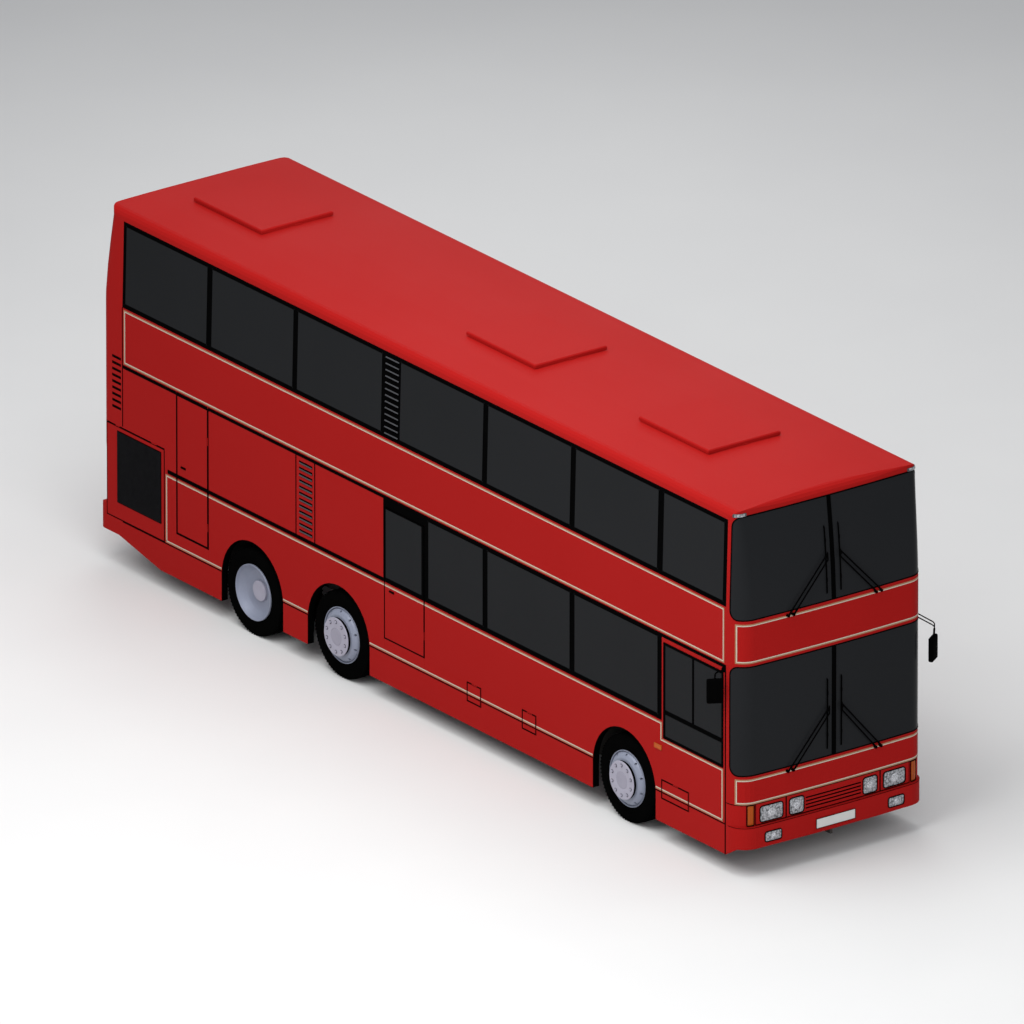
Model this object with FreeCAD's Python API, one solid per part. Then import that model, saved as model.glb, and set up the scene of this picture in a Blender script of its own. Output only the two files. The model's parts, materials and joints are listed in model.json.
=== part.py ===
"""Three-axle double-deck coach as an assembly of separate pieces, in millimetres.

Frame: +X forward, +Y nearside (left), +Z up, origin on the ground below the middle of the
vehicle's length and width. Offside pieces have negative y.
"""
import math
import os

import FreeCAD
import Part

os.makedirs("parts", exist_ok=True)
V = FreeCAD.Vector

# Driving dimensions of the body
WIDTH = 2500.0
WALL = 45.0
TUMBLEHOME = 25.0
FRONT_LINE = 5540.0
FRONT_TIP = FRONT_LINE + 250.0
FRONT_CORNER = 219.0
REAR_LINE = -5352.0
REAR_TIP = REAR_LINE - 428.0
REAR_CORNER = 150.0
BOW = 26000.0
BUMPER_PROUD = 35.0
REAR_BUMPER_PROUD = 50.0
REAR_BUMPER_CORNER = 120.0
HALF = WIDTH / 2
INNER = HALF - WALL

# Heights above the ground
SKIRT_BOTTOM = 222.0
BUMPER_BOTTOM = SKIRT_BOTTOM + 98.0
SKIRT_TOP = SKIRT_BOTTOM + 345.0
TYRE_RADIUS = 495.0
FLOOR = TYRE_RADIUS + 245.0
FLOOR_THICKNESS = 40.0
LOWER_BAND_HEIGHT = 1000.0
UPPER_BAND_HEIGHT = 994.0
BETWEEN_BANDS = 667.0
LOWER_BAND_BOTTOM = FLOOR + 654.0
WAIST_JOINT = LOWER_BAND_BOTTOM + 20.0
LOWER_GLASS_BOTTOM = LOWER_BAND_BOTTOM + 50.0
LOWER_BAND_TOP = LOWER_BAND_BOTTOM + LOWER_BAND_HEIGHT
LOWER_GLASS_TOP = LOWER_BAND_TOP - 47.0
UPPER_FLOOR = LOWER_BAND_TOP + 106.0
UPPER_FLOOR_THICKNESS = 60.0
UPPER_BAND_BOTTOM = LOWER_BAND_TOP + BETWEEN_BANDS
UPPER_GLASS_BOTTOM = UPPER_BAND_BOTTOM + 45.0
EAVES = UPPER_BAND_BOTTOM + UPPER_BAND_HEIGHT
UPPER_GLASS_TOP = EAVES - 42.0
SCREEN_TOP = EAVES + 45.0
ROOF_TOP = EAVES + 145.0
ROOF_EDGE_RADIUS = 92.0
ROOF_THICKNESS = 70.0
ROOF_DROP = 33.0
ROOF_EDGE_RUNS = 4
ROOF_CROWN_RUNS = 3

# Front face: heights of its panels and how far the upper screen leans back
SCREEN_LOWER_BOTTOM = SKIRT_TOP + 581.0
BAND_BOTTOM = LOWER_BAND_TOP + 17.0
BAND_TOP = BAND_BOTTOM + 519.0
SCREEN_HEIGHT = SCREEN_TOP - BAND_TOP
FRONT_LEAN = (
    (BAND_TOP, 5.0),
    (BAND_TOP + 0.316 * SCREEN_HEIGHT, 24.0),
    (BAND_TOP + 0.615 * SCREEN_HEIGHT, 56.0),
    (SCREEN_TOP, 112.0),
)
SCREEN_THICKNESS = 12.0
SCREEN_POST = 60.0
MIDDLE_POST = 50.0
CORNER_RUNS = 6
DASH_TOP = FLOOR + 390.0

# Rear face: how far it leans in above the rear window's sill and below the engine door's middle
REAR_LEAN_START = UPPER_BAND_BOTTOM + 89.0
REAR_LEAN = (
    (REAR_LEAN_START, 0.0),
    (REAR_LEAN_START + 0.33 * (EAVES - REAR_LEAN_START), 26.0),
    (REAR_LEAN_START + 0.66 * (EAVES - REAR_LEAN_START), 68.0),
    (EAVES, 118.0),
)
REAR_TUCK = 48.0
REAR_WINDOW_HALF = 960.0
REAR_WINDOW = (UPPER_BAND_BOTTOM + 109.0, EAVES - 155.0)

# Lamps, as (across, up, width, height, corner), and the front grille
HEAD_LAMPS = (
    (820.0, SKIRT_TOP + 119.0, 310.0, 194.0, 45.0),
    (490.0, SKIRT_TOP + 119.0, 202.0, 200.0, 45.0),
)
AMBER = (1085.0, SKIRT_TOP + 131.0, 90.0, 245.0, 20.0)
FOG = (820.0, SKIRT_TOP - 139.0, 226.0, 125.0, 40.0)
LAMP_CORNER_RUNS = 3
LENS_DEPTH = 40.0
LENS_PROUD = 3.0
REAR_LAMP = (1100.0, 1150.0, 110.0, 560.0)
REPEATER = (4276.0, 4398.0, 1053.0, 1100.0)
REPEATER_PROUD = 8.0
PLATE_WIDTH = 520.0
PLATE_HEIGHT = 111.0
PLATE_BOTTOM = 370.0
PLATE_PROUD = 6.0
GRILLE_SLOTS = 4
GRILLE_LOW = SKIRT_TOP + 45.0
GRILLE_PITCH = 40.0
GRILLE_SLOT = 18.0
GRILLE_HALF = 370.0

# Louvres of the sides, as (rear edge, front edge, first centre line, pitch)
UPPER_LOUVRES = (-582.0, -332.0, UPPER_BAND_BOTTOM + 49.0, 73.0)
UPPER_LOUVRE_COUNT = 13
LOWER_LOUVRES = (-2127.0, -1888.0, WAIST_JOINT + 83.0, 72.0)
LOWER_LOUVRE_COUNT = 12
LOUVRE_HEIGHT = 44.0
LOUVRE_DEPTH = 14.0
LOUVRE_JOINTS = (-2185.0, -1843.0)
JOINT_WIDTH = 1.0

# Wheels and axles
TYRE_WIDTH = 276.0
SIDEWALL = 170.0
RIM_RADIUS = TYRE_RADIUS - SIDEWALL
TYRE_FIT = 0.3
TYRE_FACETS = 28
RIM_FACETS = TYRE_FACETS
RIM_DEPTH = 117.0
HUB_PLATE_RADIUS = RIM_RADIUS - 96.0
HUB_RADIUS = HUB_PLATE_RADIUS - 112.0
HUB_PROUD = 51.0
HUB_FACE_DEPTH = RIM_DEPTH - 7.0
DISC_INSET = 20.0
TWIN_DISH = 107.0
TWIN_HUB = 27.0
FRONT_AXLE = 3730.0
MIDDLE_AXLE = -1415.0
REAR_AXLE = -2985.0
SINGLE_TRACK = 1080.0
TWIN_TRACK = 1105.0
TWIN_SPACING = 317.0
KINGPIN = 895.0
KINGPIN_RADIUS = 22.0
KINGPIN_FIT = 0.05
BEAM_DROP = 60.0
BEAM_HALF_DEPTH = 35.0
BEAM_WIDTH = 90.0
BEAM_DROP_INNER = 520.0
BEAM_DROP_OUTER = 640.0
BEAM_DROP_SHIFT = 20.0
BOSS_RADIUS = 45.0
BOSS_HALF = 60.0
EAR_THICKNESS = 35.0
AXLE_TUBE = 65.0
BANJO_RADIUS = 190.0
BANJO_HALF = 120.0
AXLE_FACETS = 16
ARCH_CLEARANCE = 68.0
ARCH_HALF = TYRE_RADIUS + ARCH_CLEARANCE
ARCH_SPRING = TYRE_RADIUS + 25.0
ARCH_RUNS = 20

# Windows, as lengths along the side (rear edge, front edge)
UPPER_PANES = (
    (-5310.0, -3810.0),
    (-3738.0, -2243.0),
    (-2179.0, -638.0),
    (-318.0, 1187.0),
    (1254.0, 2757.0),
    (2826.0, 4318.0),
    (4398.0, 5487.0),
)
LOWER_PANES = ((201.0, 1201.0), (1268.0, 2762.0), (2829.0, 4332.0))
PANE_POST = 67.0
GLASS = 8.0
QUARTER_END = -604.0
DRIVER_PANEL = LOWER_PANES[-1][1] + 66.0
DRIVER_WINDOW = (
    DRIVER_PANEL + 31.0, FRONT_LINE - 44.0, LOWER_BAND_BOTTOM - 194.0, LOWER_BAND_TOP - 88.0
)

# Doors, flaps and hatches
GAP = 6.0
HINGE_GAP = 12.0
BARREL = 5.0
BARREL_LENGTH = 70.0
LUG_LENGTH = 20.0
HINGE_FIT = 0.3
WEB_DEPTH = 3.0
DOOR_REAR = 4520.0
DOOR_FRONT = FRONT_LINE - 40.0
DOOR_BOTTOM = 240.0
DOOR_TOP = LOWER_BAND_TOP - 38.0
DOOR_FRAME = 60.0
DOOR_HINGES = (500.0, 1900.0)
EMERGENCY = (-579.0, 129.0, FLOOR + 7.0, LOWER_BAND_TOP - 133.0)
EMERGENCY_GLASS = (-560.0, 87.0, LOWER_GLASS_BOTTOM + 6.0, EMERGENCY[3] - 21.0)
SERVICE = (-4357.0, -3799.0, FLOOR + 13.0, LOWER_BAND_TOP - 34.0)
HINGE_HEIGHTS = (1000.0, 2000.0)
FLAP_FRONT = -4590.0
FLAP_REAR = -5646.0
FLAP_TOP = LOWER_BAND_BOTTOM + 267.0
FLAP_BOTTOM = SKIRT_TOP + 6.0
FLAP_HINGES = (FLAP_FRONT - 200.0, FLAP_REAR + 200.0)
FLAP_SLOTS = (-5430.0, -4670.0, FLAP_BOTTOM + 205.0, FLAP_TOP - 75.0)
FLAP_SLOT_COUNT = 13
FLAP_SLOT_WIDTH = 36.0
SKIRT_SLOPE = (-4666.0, -5425.0, 389.0)
ENGINE_DOOR_HALF = 1005.0
ENGINE_DOOR_HINGES = (-500.0, 500.0)
ENGINE_DOOR_BOTTOM = 706.0
HATCHES = (("front", 2955.0), ("middle", -140.0), ("rear", -5090.0))
HATCH_LENGTH = 1240.0
HATCH_HALF = 480.0
HATCH_HEIGHT = 45.0
HATCH_LIP = 40.0
HATCH_BASE = ROOF_TOP + 1.0
HATCH_HINGE = 8.0
HATCH_CHAMFER = 12.0
FILLERS = (
    ("locker", 4404.0, 4871.0),
    ("front_filler", 1907.0, 2140.0),
    ("rear_filler", 915.0, 1148.0),
)
FILLER_BOTTOM = 503.0
FILLER_TOP = 708.0
FILLER_THICKNESS = 20.0

# Floors and inside
WHEELHOUSE_INNER = 590.0
WHEELHOUSE_TOP = 2 * TYRE_RADIUS + 140.0
WHEELHOUSE_SHEET = 15.0
WHEELHOUSE_HALF = ARCH_HALF + 37.0
WHEELHOUSES = (
    (FRONT_AXLE - WHEELHOUSE_HALF, FRONT_AXLE + WHEELHOUSE_HALF),
    (REAR_AXLE - WHEELHOUSE_HALF, MIDDLE_AXLE + WHEELHOUSE_HALF),
)
BULKHEAD = WHEELHOUSES[1][0] - 55.0
ENGINE_BULKHEAD = -4480.0
BULKHEAD_THICKNESS = 30.0
STEP_WELL_INNER = 450.0
STAIR_FOOT = 3060.0
STAIR_TREADS = 7
STAIR_GOING = 210.0
STAIR_WIDTH = 560.0
STAIR_SLAB = 60.0
STAIR_HEAD = STAIR_FOOT - STAIR_TREADS * STAIR_GOING
SEAT_PITCH = 800.0
SEAT_WIDTH = 880.0
SEAT_Y = 745.0
SEAT_PROFILE = (
    (60, 0), (300, 0), (300, 300), (460, 315), (460, 430), (20, 420),
    (-90, 1060), (-180, 1060), (-60, 300), (60, 290),
)
UPPER_SEATS = 4700.0
UPPER_SEAT_ROWS = 13
LOWER_SEATS = 2200.0
LOWER_SEAT_ROWS = 4
DRIVER_SEAT = (WHEELHOUSES[0][1] + 190.0, -760.0)
DRIVER_SEAT_WIDTH = 520.0

# Chassis
RAIL_TOP = FLOOR - FLOOR_THICKNESS
RAIL_INNER = 360.0
RAIL_WIDTH = 80.0
RAIL_DEPTH = 110.0
RAIL_BOTTOM = RAIL_TOP - RAIL_DEPTH
RAIL_OUTER = RAIL_INNER + RAIL_WIDTH
CROSS_MEMBERS = (2900.0, 1500.0, 100.0, -2200.0, -4300.0)
OUTRIGGERS = (2900.0, 1500.0, 100.0, -4300.0)
MEMBER_HALF = 40.0
EYE_MEMBERS = ((5400.0, 1, 355.0), (-5450.0, -1, 250.0))
EYE_RADIUS = 20.0
EYE_PLATE = 30.0
EYE_EDGE = 45.0
EYE_HEIGHT = 275.0
PAD = (540.0, 660.0, 30.0)
SPRING_SEAT_HALF = 70.0
TANK = (1750.0, 2650.0, 1150.0, RAIL_BOTTOM - 290.0, RAIL_TOP - 70.0)
ENGINE_BLOCK = (-5400.0, -4560.0, 330.0, 1350.0)

# Wipers and mirrors
WIPER_PROUD = 45.0
WIPER_PIVOTS = (620.0, 550.0)
WIPER_BLADE_Y = 93.0
WIPER_BLADE_PROUD = 25.0
WIPER_ARM = (24.0, 12.0)
WIPER_BLADE = 26.0
LOWER_WIPER = (SCREEN_LOWER_BOTTOM - 38.0, 1720.0, 1250.0, 2040.0)
UPPER_WIPER = (BAND_TOP - 35.0, 3470.0, 3030.0, 3770.0)
MIRROR_SIZE = (60.0, 180.0, 280.0)
MIRROR_CHAMFER = 18.0
MIRROR_TUBE = 14.0
NEAR_MIRROR = (5731.0, 1370.0, 2030.0)
NEAR_MIRROR_YAW = 34.6
NEAR_ARM = ((5620.0, 1175.0, 2445.0), (5760.0, 1370.0, 2310.0), (5745.0, 1370.0, 2160.0))
OFF_MIRROR = (5500.0, -1370.0, 2115.0)
OFF_MIRROR_YAW = -29.1
OFF_ARM = ((5510.0, -1240.0, 2340.0), (5500.0, -1370.0, 2320.0), (5500.0, -1370.0, 2245.0))
SKIN_CLEARANCE = 0.5

EMERGENCY_OPENING = (
    EMERGENCY[0] - GAP, EMERGENCY[1] + HINGE_GAP, EMERGENCY[2] - GAP, EMERGENCY[3] + GAP
)
SERVICE_OPENING = (SERVICE[0] - GAP, SERVICE[1] + HINGE_GAP, SERVICE[2] - GAP, SERVICE[3] + GAP)


def box(x0, x1, y0, y1, z0, z1):
    """Block between two values along each axis, given in either order."""
    low = V(min(x0, x1), min(y0, y1), min(z0, z1))
    high = V(max(x0, x1), max(y0, y1), max(z0, z1))
    return Part.makeBox(high.x - low.x, high.y - low.y, high.z - low.z, low)


def prism(points, direction):
    """Solid from a closed polygon of points swept along a vector."""
    ring = Part.makePolygon([V(*p) for p in points] + [V(*points[0])])
    return Part.Face(ring).extrude(V(*direction))


def side_plate(outline, side, outer=0.0, depth=WALL):
    """Plate in the side wall from an outline of (x, z) points; outer moves it outwards."""
    face_y = side * (HALF + outer)
    points = [(x, face_y, z) for x, z in outline]
    return prism(points, (0, -side * depth, 0))


def rectangle(x0, x1, z0, z1):
    """Corners of an upright rectangle as (x, z) points."""
    return [(x0, z0), (x1, z0), (x1, z1), (x0, z1)]


def fuse(shapes):
    """Union of several shapes with seams between coplanar faces taken away."""
    shapes = list(shapes)
    if len(shapes) == 1:
        return shapes[0]
    return shapes[0].multiFuse(shapes[1:]).removeSplitter()


def save(name, shapes):
    """Write one node; its solids share the file and do not touch."""
    shapes = shapes if isinstance(shapes, (list, tuple)) else [shapes]
    solids = [solid for shape in shapes for solid in shape.Solids]
    whole = solids[0] if len(solids) == 1 else Part.makeCompound(solids)
    whole.exportStep("parts/" + name + ".step")


def half_width(z):
    """Half of the body's width at a height, with the upper deck leaning inwards."""
    lean = (z - UPPER_BAND_BOTTOM) / (EAVES - UPPER_BAND_BOTTOM)
    return HALF - TUMBLEHOME * min(max(lean, 0.0), 1.0)


def end_outline(base, tip, half, corner):
    """Plan of one end as (x, y) points: flanks, rounded corners in short runs and a bowed face."""
    way = 1.0 if tip > base else -1.0
    length = abs(tip - base)
    corner = min(corner, length - half * half / (2 * BOW))
    reach = math.sqrt((BOW - corner) ** 2 - (half - corner) ** 2)
    centre = length - BOW + reach
    turn = math.atan2(half - corner, reach)
    flank = [(0.0, half)]
    for index in range(CORNER_RUNS + 1):
        angle = math.pi / 2 - index * (math.pi / 2 - turn) / CORNER_RUNS
        flank.append((centre + corner * math.cos(angle), half - corner + corner * math.sin(angle)))
    quarter = flank[-1][1] / 2
    flank.append((length - quarter * quarter / (2 * BOW), quarter))
    points = flank + [(length, 0.0)] + [(along, -y) for along, y in reversed(flank)]
    return [(base + way * along, y) for along, y in points]


def upright(outline, z0, z1):
    """Upright solid over a plan outline of (x, y) points."""
    return prism([(x, y, z0) for x, y in outline], (0, 0, z1 - z0))


def end_block(base, tip, corner, z0, z1, inset=0.0):
    """Upright block with the plan outline of one end, drawn in by an inset."""
    way = 1.0 if tip > base else -1.0
    return upright(end_outline(base, tip - way * inset, HALF - inset, corner - inset), z0, z1)


def flat_faces(a, b, c, d):
    """Faces of a quadrilateral: one where it is flat, otherwise two triangles."""
    normal = (b - a).cross(d - a)
    if abs(normal.dot(c - a)) < 1e-5 * normal.Length:
        return [Part.Face(Part.makePolygon([a, b, c, d, a]))]
    return [Part.Face(Part.makePolygon([a, b, c, a])), Part.Face(Part.makePolygon([a, c, d, a]))]


def closed_solid(faces):
    """Solid enclosed by a list of faces, with its outside outwards."""
    shell = Part.makeShell(faces)
    shell.sewShape()
    shape = Part.makeSolid(shell)
    if shape.Volume < 0:
        shape.reverse()
    return shape


def end_loft(base, tip, corner, leans, inset=0.0):
    """Block whose end face leans back through a list of (height, set-back) pairs."""
    way = 1.0 if tip > base else -1.0
    rings = []
    for z, back in leans:
        half = half_width(z) - inset
        outline = end_outline(base, tip - way * (back + inset), half, corner - inset)
        rings.append([V(x, y, z) for x, y in outline])
    faces = [Part.Face(Part.makePolygon(ring + ring[:1])) for ring in (rings[0], rings[-1])]
    for near, far in zip(rings, rings[1:]):
        for index in range(len(near)):
            after = (index + 1) % len(near)
            faces += flat_faces(near[index], near[after], far[after], far[index])
    return closed_solid(faces)


def front_shell(z0, z1, thickness, outset=0.0):
    """Upright shell of the front end between two heights."""
    outer = end_block(FRONT_LINE, FRONT_TIP, FRONT_CORNER, z0, z1, -outset)
    inner = end_block(FRONT_LINE, FRONT_TIP, FRONT_CORNER, z0, z1, thickness - outset)
    if outset > 0:
        outer = outer.common(box(FRONT_LINE, FRONT_TIP + outset, -HALF, HALF, z0, z1))
    return outer.cut(inner)


def front_face_x(y, z=BAND_BOTTOM):
    """Length at which the front face lies for a place across it."""
    back = 0.0
    for (low, near), (high, far) in zip(FRONT_LEAN, FRONT_LEAN[1:]):
        if low <= z <= high:
            back = near + (far - near) * (z - low) / (high - low)
    return FRONT_TIP - back - y * y / (2 * BOW)


def arch(axle):
    """Wheel arch cutter through both sides: a round top in short runs on straight legs."""
    points = [(axle + ARCH_HALF, 0.0), (axle - ARCH_HALF, 0.0)]
    for index in range(ARCH_RUNS + 1):
        angle = math.pi * (1 - index / ARCH_RUNS)
        points.append((axle + ARCH_HALF * math.cos(angle), ARCH_SPRING + ARCH_HALF * math.sin(angle)))
    return prism([(x, -2 * HALF, z) for x, z in points], (0, 4 * HALF, 0))


def facet_bar(start, along, radius, count):
    """Round bar in flat facets from a start along a vector."""
    direction = V(*along)
    reach = direction.Length
    direction.normalize()
    across = V(direction.y, direction.z, direction.x)
    up = direction.cross(across)
    ring = []
    for index in range(count):
        angle = 2 * math.pi * (index + 0.5) / count
        ring.append(V(*start) + across * (radius * math.cos(angle)) + up * (radius * math.sin(angle)))
    return Part.Face(Part.makePolygon(ring + ring[:1])).extrude(direction * reach)


def hinge_barrel(centre, direction, web, length=BARREL_LENGTH):
    """Eight-sided barrel of a hinge along a direction, with the web that joins it to its panel."""
    along = V(*direction) * length
    return facet_bar(V(*centre) - along / 2, along, BARREL, 8).fuse(web)


def upright_hinge(x, side, z):
    """Door-side barrel of a hinge on a vertical line, with its web towards the rear."""
    reach = x - HINGE_GAP / 2 - 8
    half = BARREL_LENGTH / 2
    web = box(reach, x, side * (HALF - WEB_DEPTH), side * HALF, z - half, z + half)
    return hinge_barrel((x, side * HALF, z), (0, 0, 1), web)


def upright_lug(x, side, z, post_x):
    """Body-side barrel that carries the door's barrel from below, with its web forwards."""
    top = z - BARREL_LENGTH / 2 - HINGE_FIT
    web = box(x, post_x, side * (HALF - WEB_DEPTH), side * HALF, top - LUG_LENGTH, top)
    return hinge_barrel((x, side * HALF, top - LUG_LENGTH / 2), (0, 0, 1), web, LUG_LENGTH)


def flat_lug(x, side, z):
    """Body-side barrel on a line along the vehicle, beside the flap's barrel, with its web up."""
    start = x + BARREL_LENGTH / 2 + HINGE_FIT
    high = z + HINGE_GAP / 2 + 20
    web = box(start, start + LUG_LENGTH, side * (HALF - WEB_DEPTH), side * HALF, z, high)
    return hinge_barrel((start + LUG_LENGTH / 2, side * HALF, z), (1, 0, 0), web, LUG_LENGTH)


def rounded_prism(centre, size, radius, depth):
    """Rounded rectangle facing forward: centre (x, y, z), size (across, up)."""
    x, y, z = centre
    ring = []
    for index in range(4 * (LAMP_CORNER_RUNS + 1)):
        corner = index // (LAMP_CORNER_RUNS + 1)
        step = index % (LAMP_CORNER_RUNS + 1)
        angle = math.pi / 2 * (corner + step / LAMP_CORNER_RUNS)
        right = 1 if corner in (0, 3) else -1
        high = 1 if corner < 2 else -1
        ring.append((
            x,
            y + right * (size[0] / 2 - radius) + radius * math.cos(angle),
            z + high * (size[1] / 2 - radius) + radius * math.sin(angle),
        ))
    return prism(ring, (depth, 0, 0))


def louvre_cutters(row, count, side):
    """Sloping pockets of a column of louvres, deepest at their lower edge."""
    x0, x1, first, pitch = row
    cutters = []
    for index in range(count):
        low = first + index * pitch - LOUVRE_HEIGHT / 2
        face = half_width(low)
        over = LOUVRE_HEIGHT * (1 + 2 / LOUVRE_DEPTH)
        points = [(face - LOUVRE_DEPTH, low), (face + 2, low), (face + 2, low + over)]
        cutters.append(prism([(x0, side * y, z) for y, z in points], (x1 - x0, 0, 0)))
    return cutters


# Side panels


def filler_opening(x0, x1):
    """Outline of the opening of a small flap, with room for its hinge at the top."""
    return rectangle(x0 - GAP, x1 + GAP, FILLER_BOTTOM - GAP, FILLER_TOP + HINGE_GAP)


def skirt_panels():
    """Panels below the waist line, broken by the wheel arches and the entrance."""
    solids = []
    for side in (-1, 1):
        front_end = FRONT_LINE if side < 0 else DOOR_REAR
        outlines = [rectangle(FRONT_AXLE + ARCH_HALF, front_end, SKIRT_BOTTOM, SKIRT_TOP)]
        outlines.append(
            rectangle(MIDDLE_AXLE + ARCH_HALF, FRONT_AXLE - ARCH_HALF, SKIRT_BOTTOM, SKIRT_TOP)
        )
        outlines.append(
            rectangle(REAR_AXLE + ARCH_HALF, MIDDLE_AXLE - ARCH_HALF, SKIRT_BOTTOM, SKIRT_TOP)
        )
        slope_start, slope_end, slope_height = SKIRT_SLOPE
        rear = REAR_AXLE - ARCH_HALF
        outlines.append(
            [
                (rear, SKIRT_BOTTOM),
                (rear, SKIRT_TOP),
                (slope_end, SKIRT_TOP),
                (slope_end, slope_height),
                (slope_start, SKIRT_BOTTOM),
            ]
        )
        for outline in outlines:
            plate = side_plate(outline, side)
            if side < 0:
                plate = cut_fillers(plate)
            solids.append(plate)
    return solids


def cut_fillers(plate):
    """Cut the small flaps' openings out of an offside plate."""
    for _, x0, x1 in FILLERS:
        plate = plate.cut(side_plate(filler_opening(x0, x1), -1))
    return plate


def lower_side(side):
    """Panels between the skirt and the lower windows, rising behind them to the middle deck."""
    front_end = FRONT_LINE if side < 0 else DOOR_REAR
    outline = [
        (FLAP_FRONT + GAP, SKIRT_TOP),
        (front_end, SKIRT_TOP),
        (front_end, LOWER_BAND_BOTTOM),
        (QUARTER_END, LOWER_BAND_BOTTOM),
        (QUARTER_END, LOWER_BAND_TOP),
        (REAR_LINE, LOWER_BAND_TOP),
        (REAR_LINE, FLAP_TOP),
        (FLAP_FRONT + GAP, FLAP_TOP),
    ]
    plate = side_plate(outline, side)
    for axle in (FRONT_AXLE, MIDDLE_AXLE, REAR_AXLE):
        plate = plate.cut(arch(axle))
    plate = fuse([plate, flat_lug(FLAP_HINGES[0], side, FLAP_TOP - HINGE_GAP / 2)])
    if side < 0:
        raised = rectangle(DRIVER_PANEL, FRONT_LINE, LOWER_BAND_BOTTOM, LOWER_BAND_TOP)
        plate = fuse([plate, side_plate(raised, side)])
        for opening in (DRIVER_WINDOW, EMERGENCY_OPENING, SERVICE_OPENING):
            plate = plate.cut(side_plate(rectangle(*opening), side))
        plate = cut_fillers(plate)
        lug_x = EMERGENCY[1] + HINGE_GAP / 2
        lugs = [upright_lug(lug_x, side, HINGE_HEIGHTS[0], EMERGENCY[1] + 30)]
        for z in HINGE_HEIGHTS:
            lugs.append(upright_lug(SERVICE[1] + HINGE_GAP / 2, side, z, SERVICE[1] + 30))
        for _, x0, x1 in FILLERS:
            lugs.append(flat_lug((x0 + x1) / 2, side, FILLER_TOP + HINGE_GAP / 2))
        plate = fuse([plate] + lugs)
    return plate.cut(panel_joints(side) + louvre_cutters(LOWER_LOUVRES, LOWER_LOUVRE_COUNT, side))


def panel_joints(side):
    """Thin cutters where the lower side's real panels meet."""
    half = JOINT_WIDTH / 2
    depth = (side * INNER * 0.9, side * HALF * 1.1)
    joints = [
        box(REAR_LINE - 10, QUARTER_END + 10, *depth, WAIST_JOINT - half, WAIST_JOINT + half)
    ]
    for x in LOUVRE_JOINTS:
        joints.append(box(x - half, x + half, *depth, WAIST_JOINT, LOWER_BAND_TOP + 10))
    if side > 0:
        joints.append(
            box(QUARTER_END - half, QUARTER_END + half, *depth, SKIRT_TOP - 10, WAIST_JOINT)
        )
        return joints
    for rear, front, low, high in (EMERGENCY_OPENING, SERVICE_OPENING):
        for x in (rear, front):
            joints.append(box(x - half, x + half, *depth, SKIRT_TOP - 10, low))
            if high < LOWER_BAND_TOP and x < QUARTER_END:
                joints.append(box(x - half, x + half, *depth, high, LOWER_BAND_TOP + 10))
    return joints


def lower_band(side):
    """Window band of the lower deck, with an opening for each pane."""
    front_end = DRIVER_PANEL if side < 0 else DOOR_REAR
    plate = side_plate(rectangle(QUARTER_END, front_end, LOWER_BAND_BOTTOM, LOWER_BAND_TOP), side)
    for pane in lower_panes(side):
        plate = plate.cut(side_plate(rectangle(*pane, LOWER_GLASS_BOTTOM, LOWER_GLASS_TOP), side))
    if side > 0:
        return plate
    plate = plate.cut(side_plate(rectangle(*EMERGENCY_OPENING), side))
    lug = upright_lug(EMERGENCY[1] + HINGE_GAP / 2, side, HINGE_HEIGHTS[1], EMERGENCY[1] + 30)
    return fuse([plate, lug])


def lower_panes(side):
    """Panes of the lower deck; the nearside has a fixed one where the offside has its door."""
    if side < 0:
        return LOWER_PANES
    return ((EMERGENCY_GLASS[0], LOWER_PANES[0][0] - PANE_POST),) + LOWER_PANES


def deck_panel(side):
    """Panel between the decks, reaching down over the entrance on the nearside."""
    outline = rectangle(REAR_LINE, FRONT_LINE, LOWER_BAND_TOP, UPPER_BAND_BOTTOM)
    if side > 0:
        outline = [
            (REAR_LINE, LOWER_BAND_TOP),
            (DOOR_REAR, LOWER_BAND_TOP),
            (DOOR_REAR, DOOR_TOP + GAP),
            (FRONT_LINE, DOOR_TOP + GAP),
            (FRONT_LINE, UPPER_BAND_BOTTOM),
            (REAR_LINE, UPPER_BAND_BOTTOM),
        ]
    return side_plate(outline, side)


def leaning_plate(x0, x1, z0, z1, side, depth=WALL):
    """Plate of the upper side that follows the inward lean."""
    low, high = half_width(z0), half_width(z1)
    points = [
        (x0, side * low, z0),
        (x0, side * high, z1),
        (x0, side * (high - depth), z1),
        (x0, side * (low - depth), z0),
    ]
    return prism(points, (x1 - x0, 0, 0))


def upper_band(side):
    """Window band of the upper deck, with louvres in its widest pillar."""
    plate = leaning_plate(REAR_LINE, FRONT_LINE, UPPER_BAND_BOTTOM, EAVES, side)
    cutters = louvre_cutters(UPPER_LOUVRES, UPPER_LOUVRE_COUNT, side)
    for x0, x1 in UPPER_PANES:
        cutters.append(box(x0, x1, 0, side * 2 * HALF, UPPER_GLASS_BOTTOM, UPPER_GLASS_TOP))
    return plate.cut(cutters)


def window_glass():
    """Panes of both sides and the driver's window, flush with the body."""
    panes = []
    for side in (-1, 1):
        for x0, x1 in UPPER_PANES:
            panes.append(leaning_plate(x0, x1, UPPER_GLASS_BOTTOM, UPPER_GLASS_TOP, side, GLASS))
        for pane in lower_panes(side):
            outline = rectangle(*pane, LOWER_GLASS_BOTTOM, LOWER_GLASS_TOP)
            panes.append(side_plate(outline, side, depth=GLASS))
    panes.append(side_plate(rectangle(*DRIVER_WINDOW), -1, depth=GLASS))
    return panes


# Front end


def lamp_cutters(shape):
    """Forward-facing prisms of one lamp on both sides."""
    y, z, across, up, radius = shape
    start = FRONT_TIP - FRONT_CORNER
    return [rounded_prism((start, s * y, z), (across, up), radius, 500.0) for s in (-1, 1)]


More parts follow.
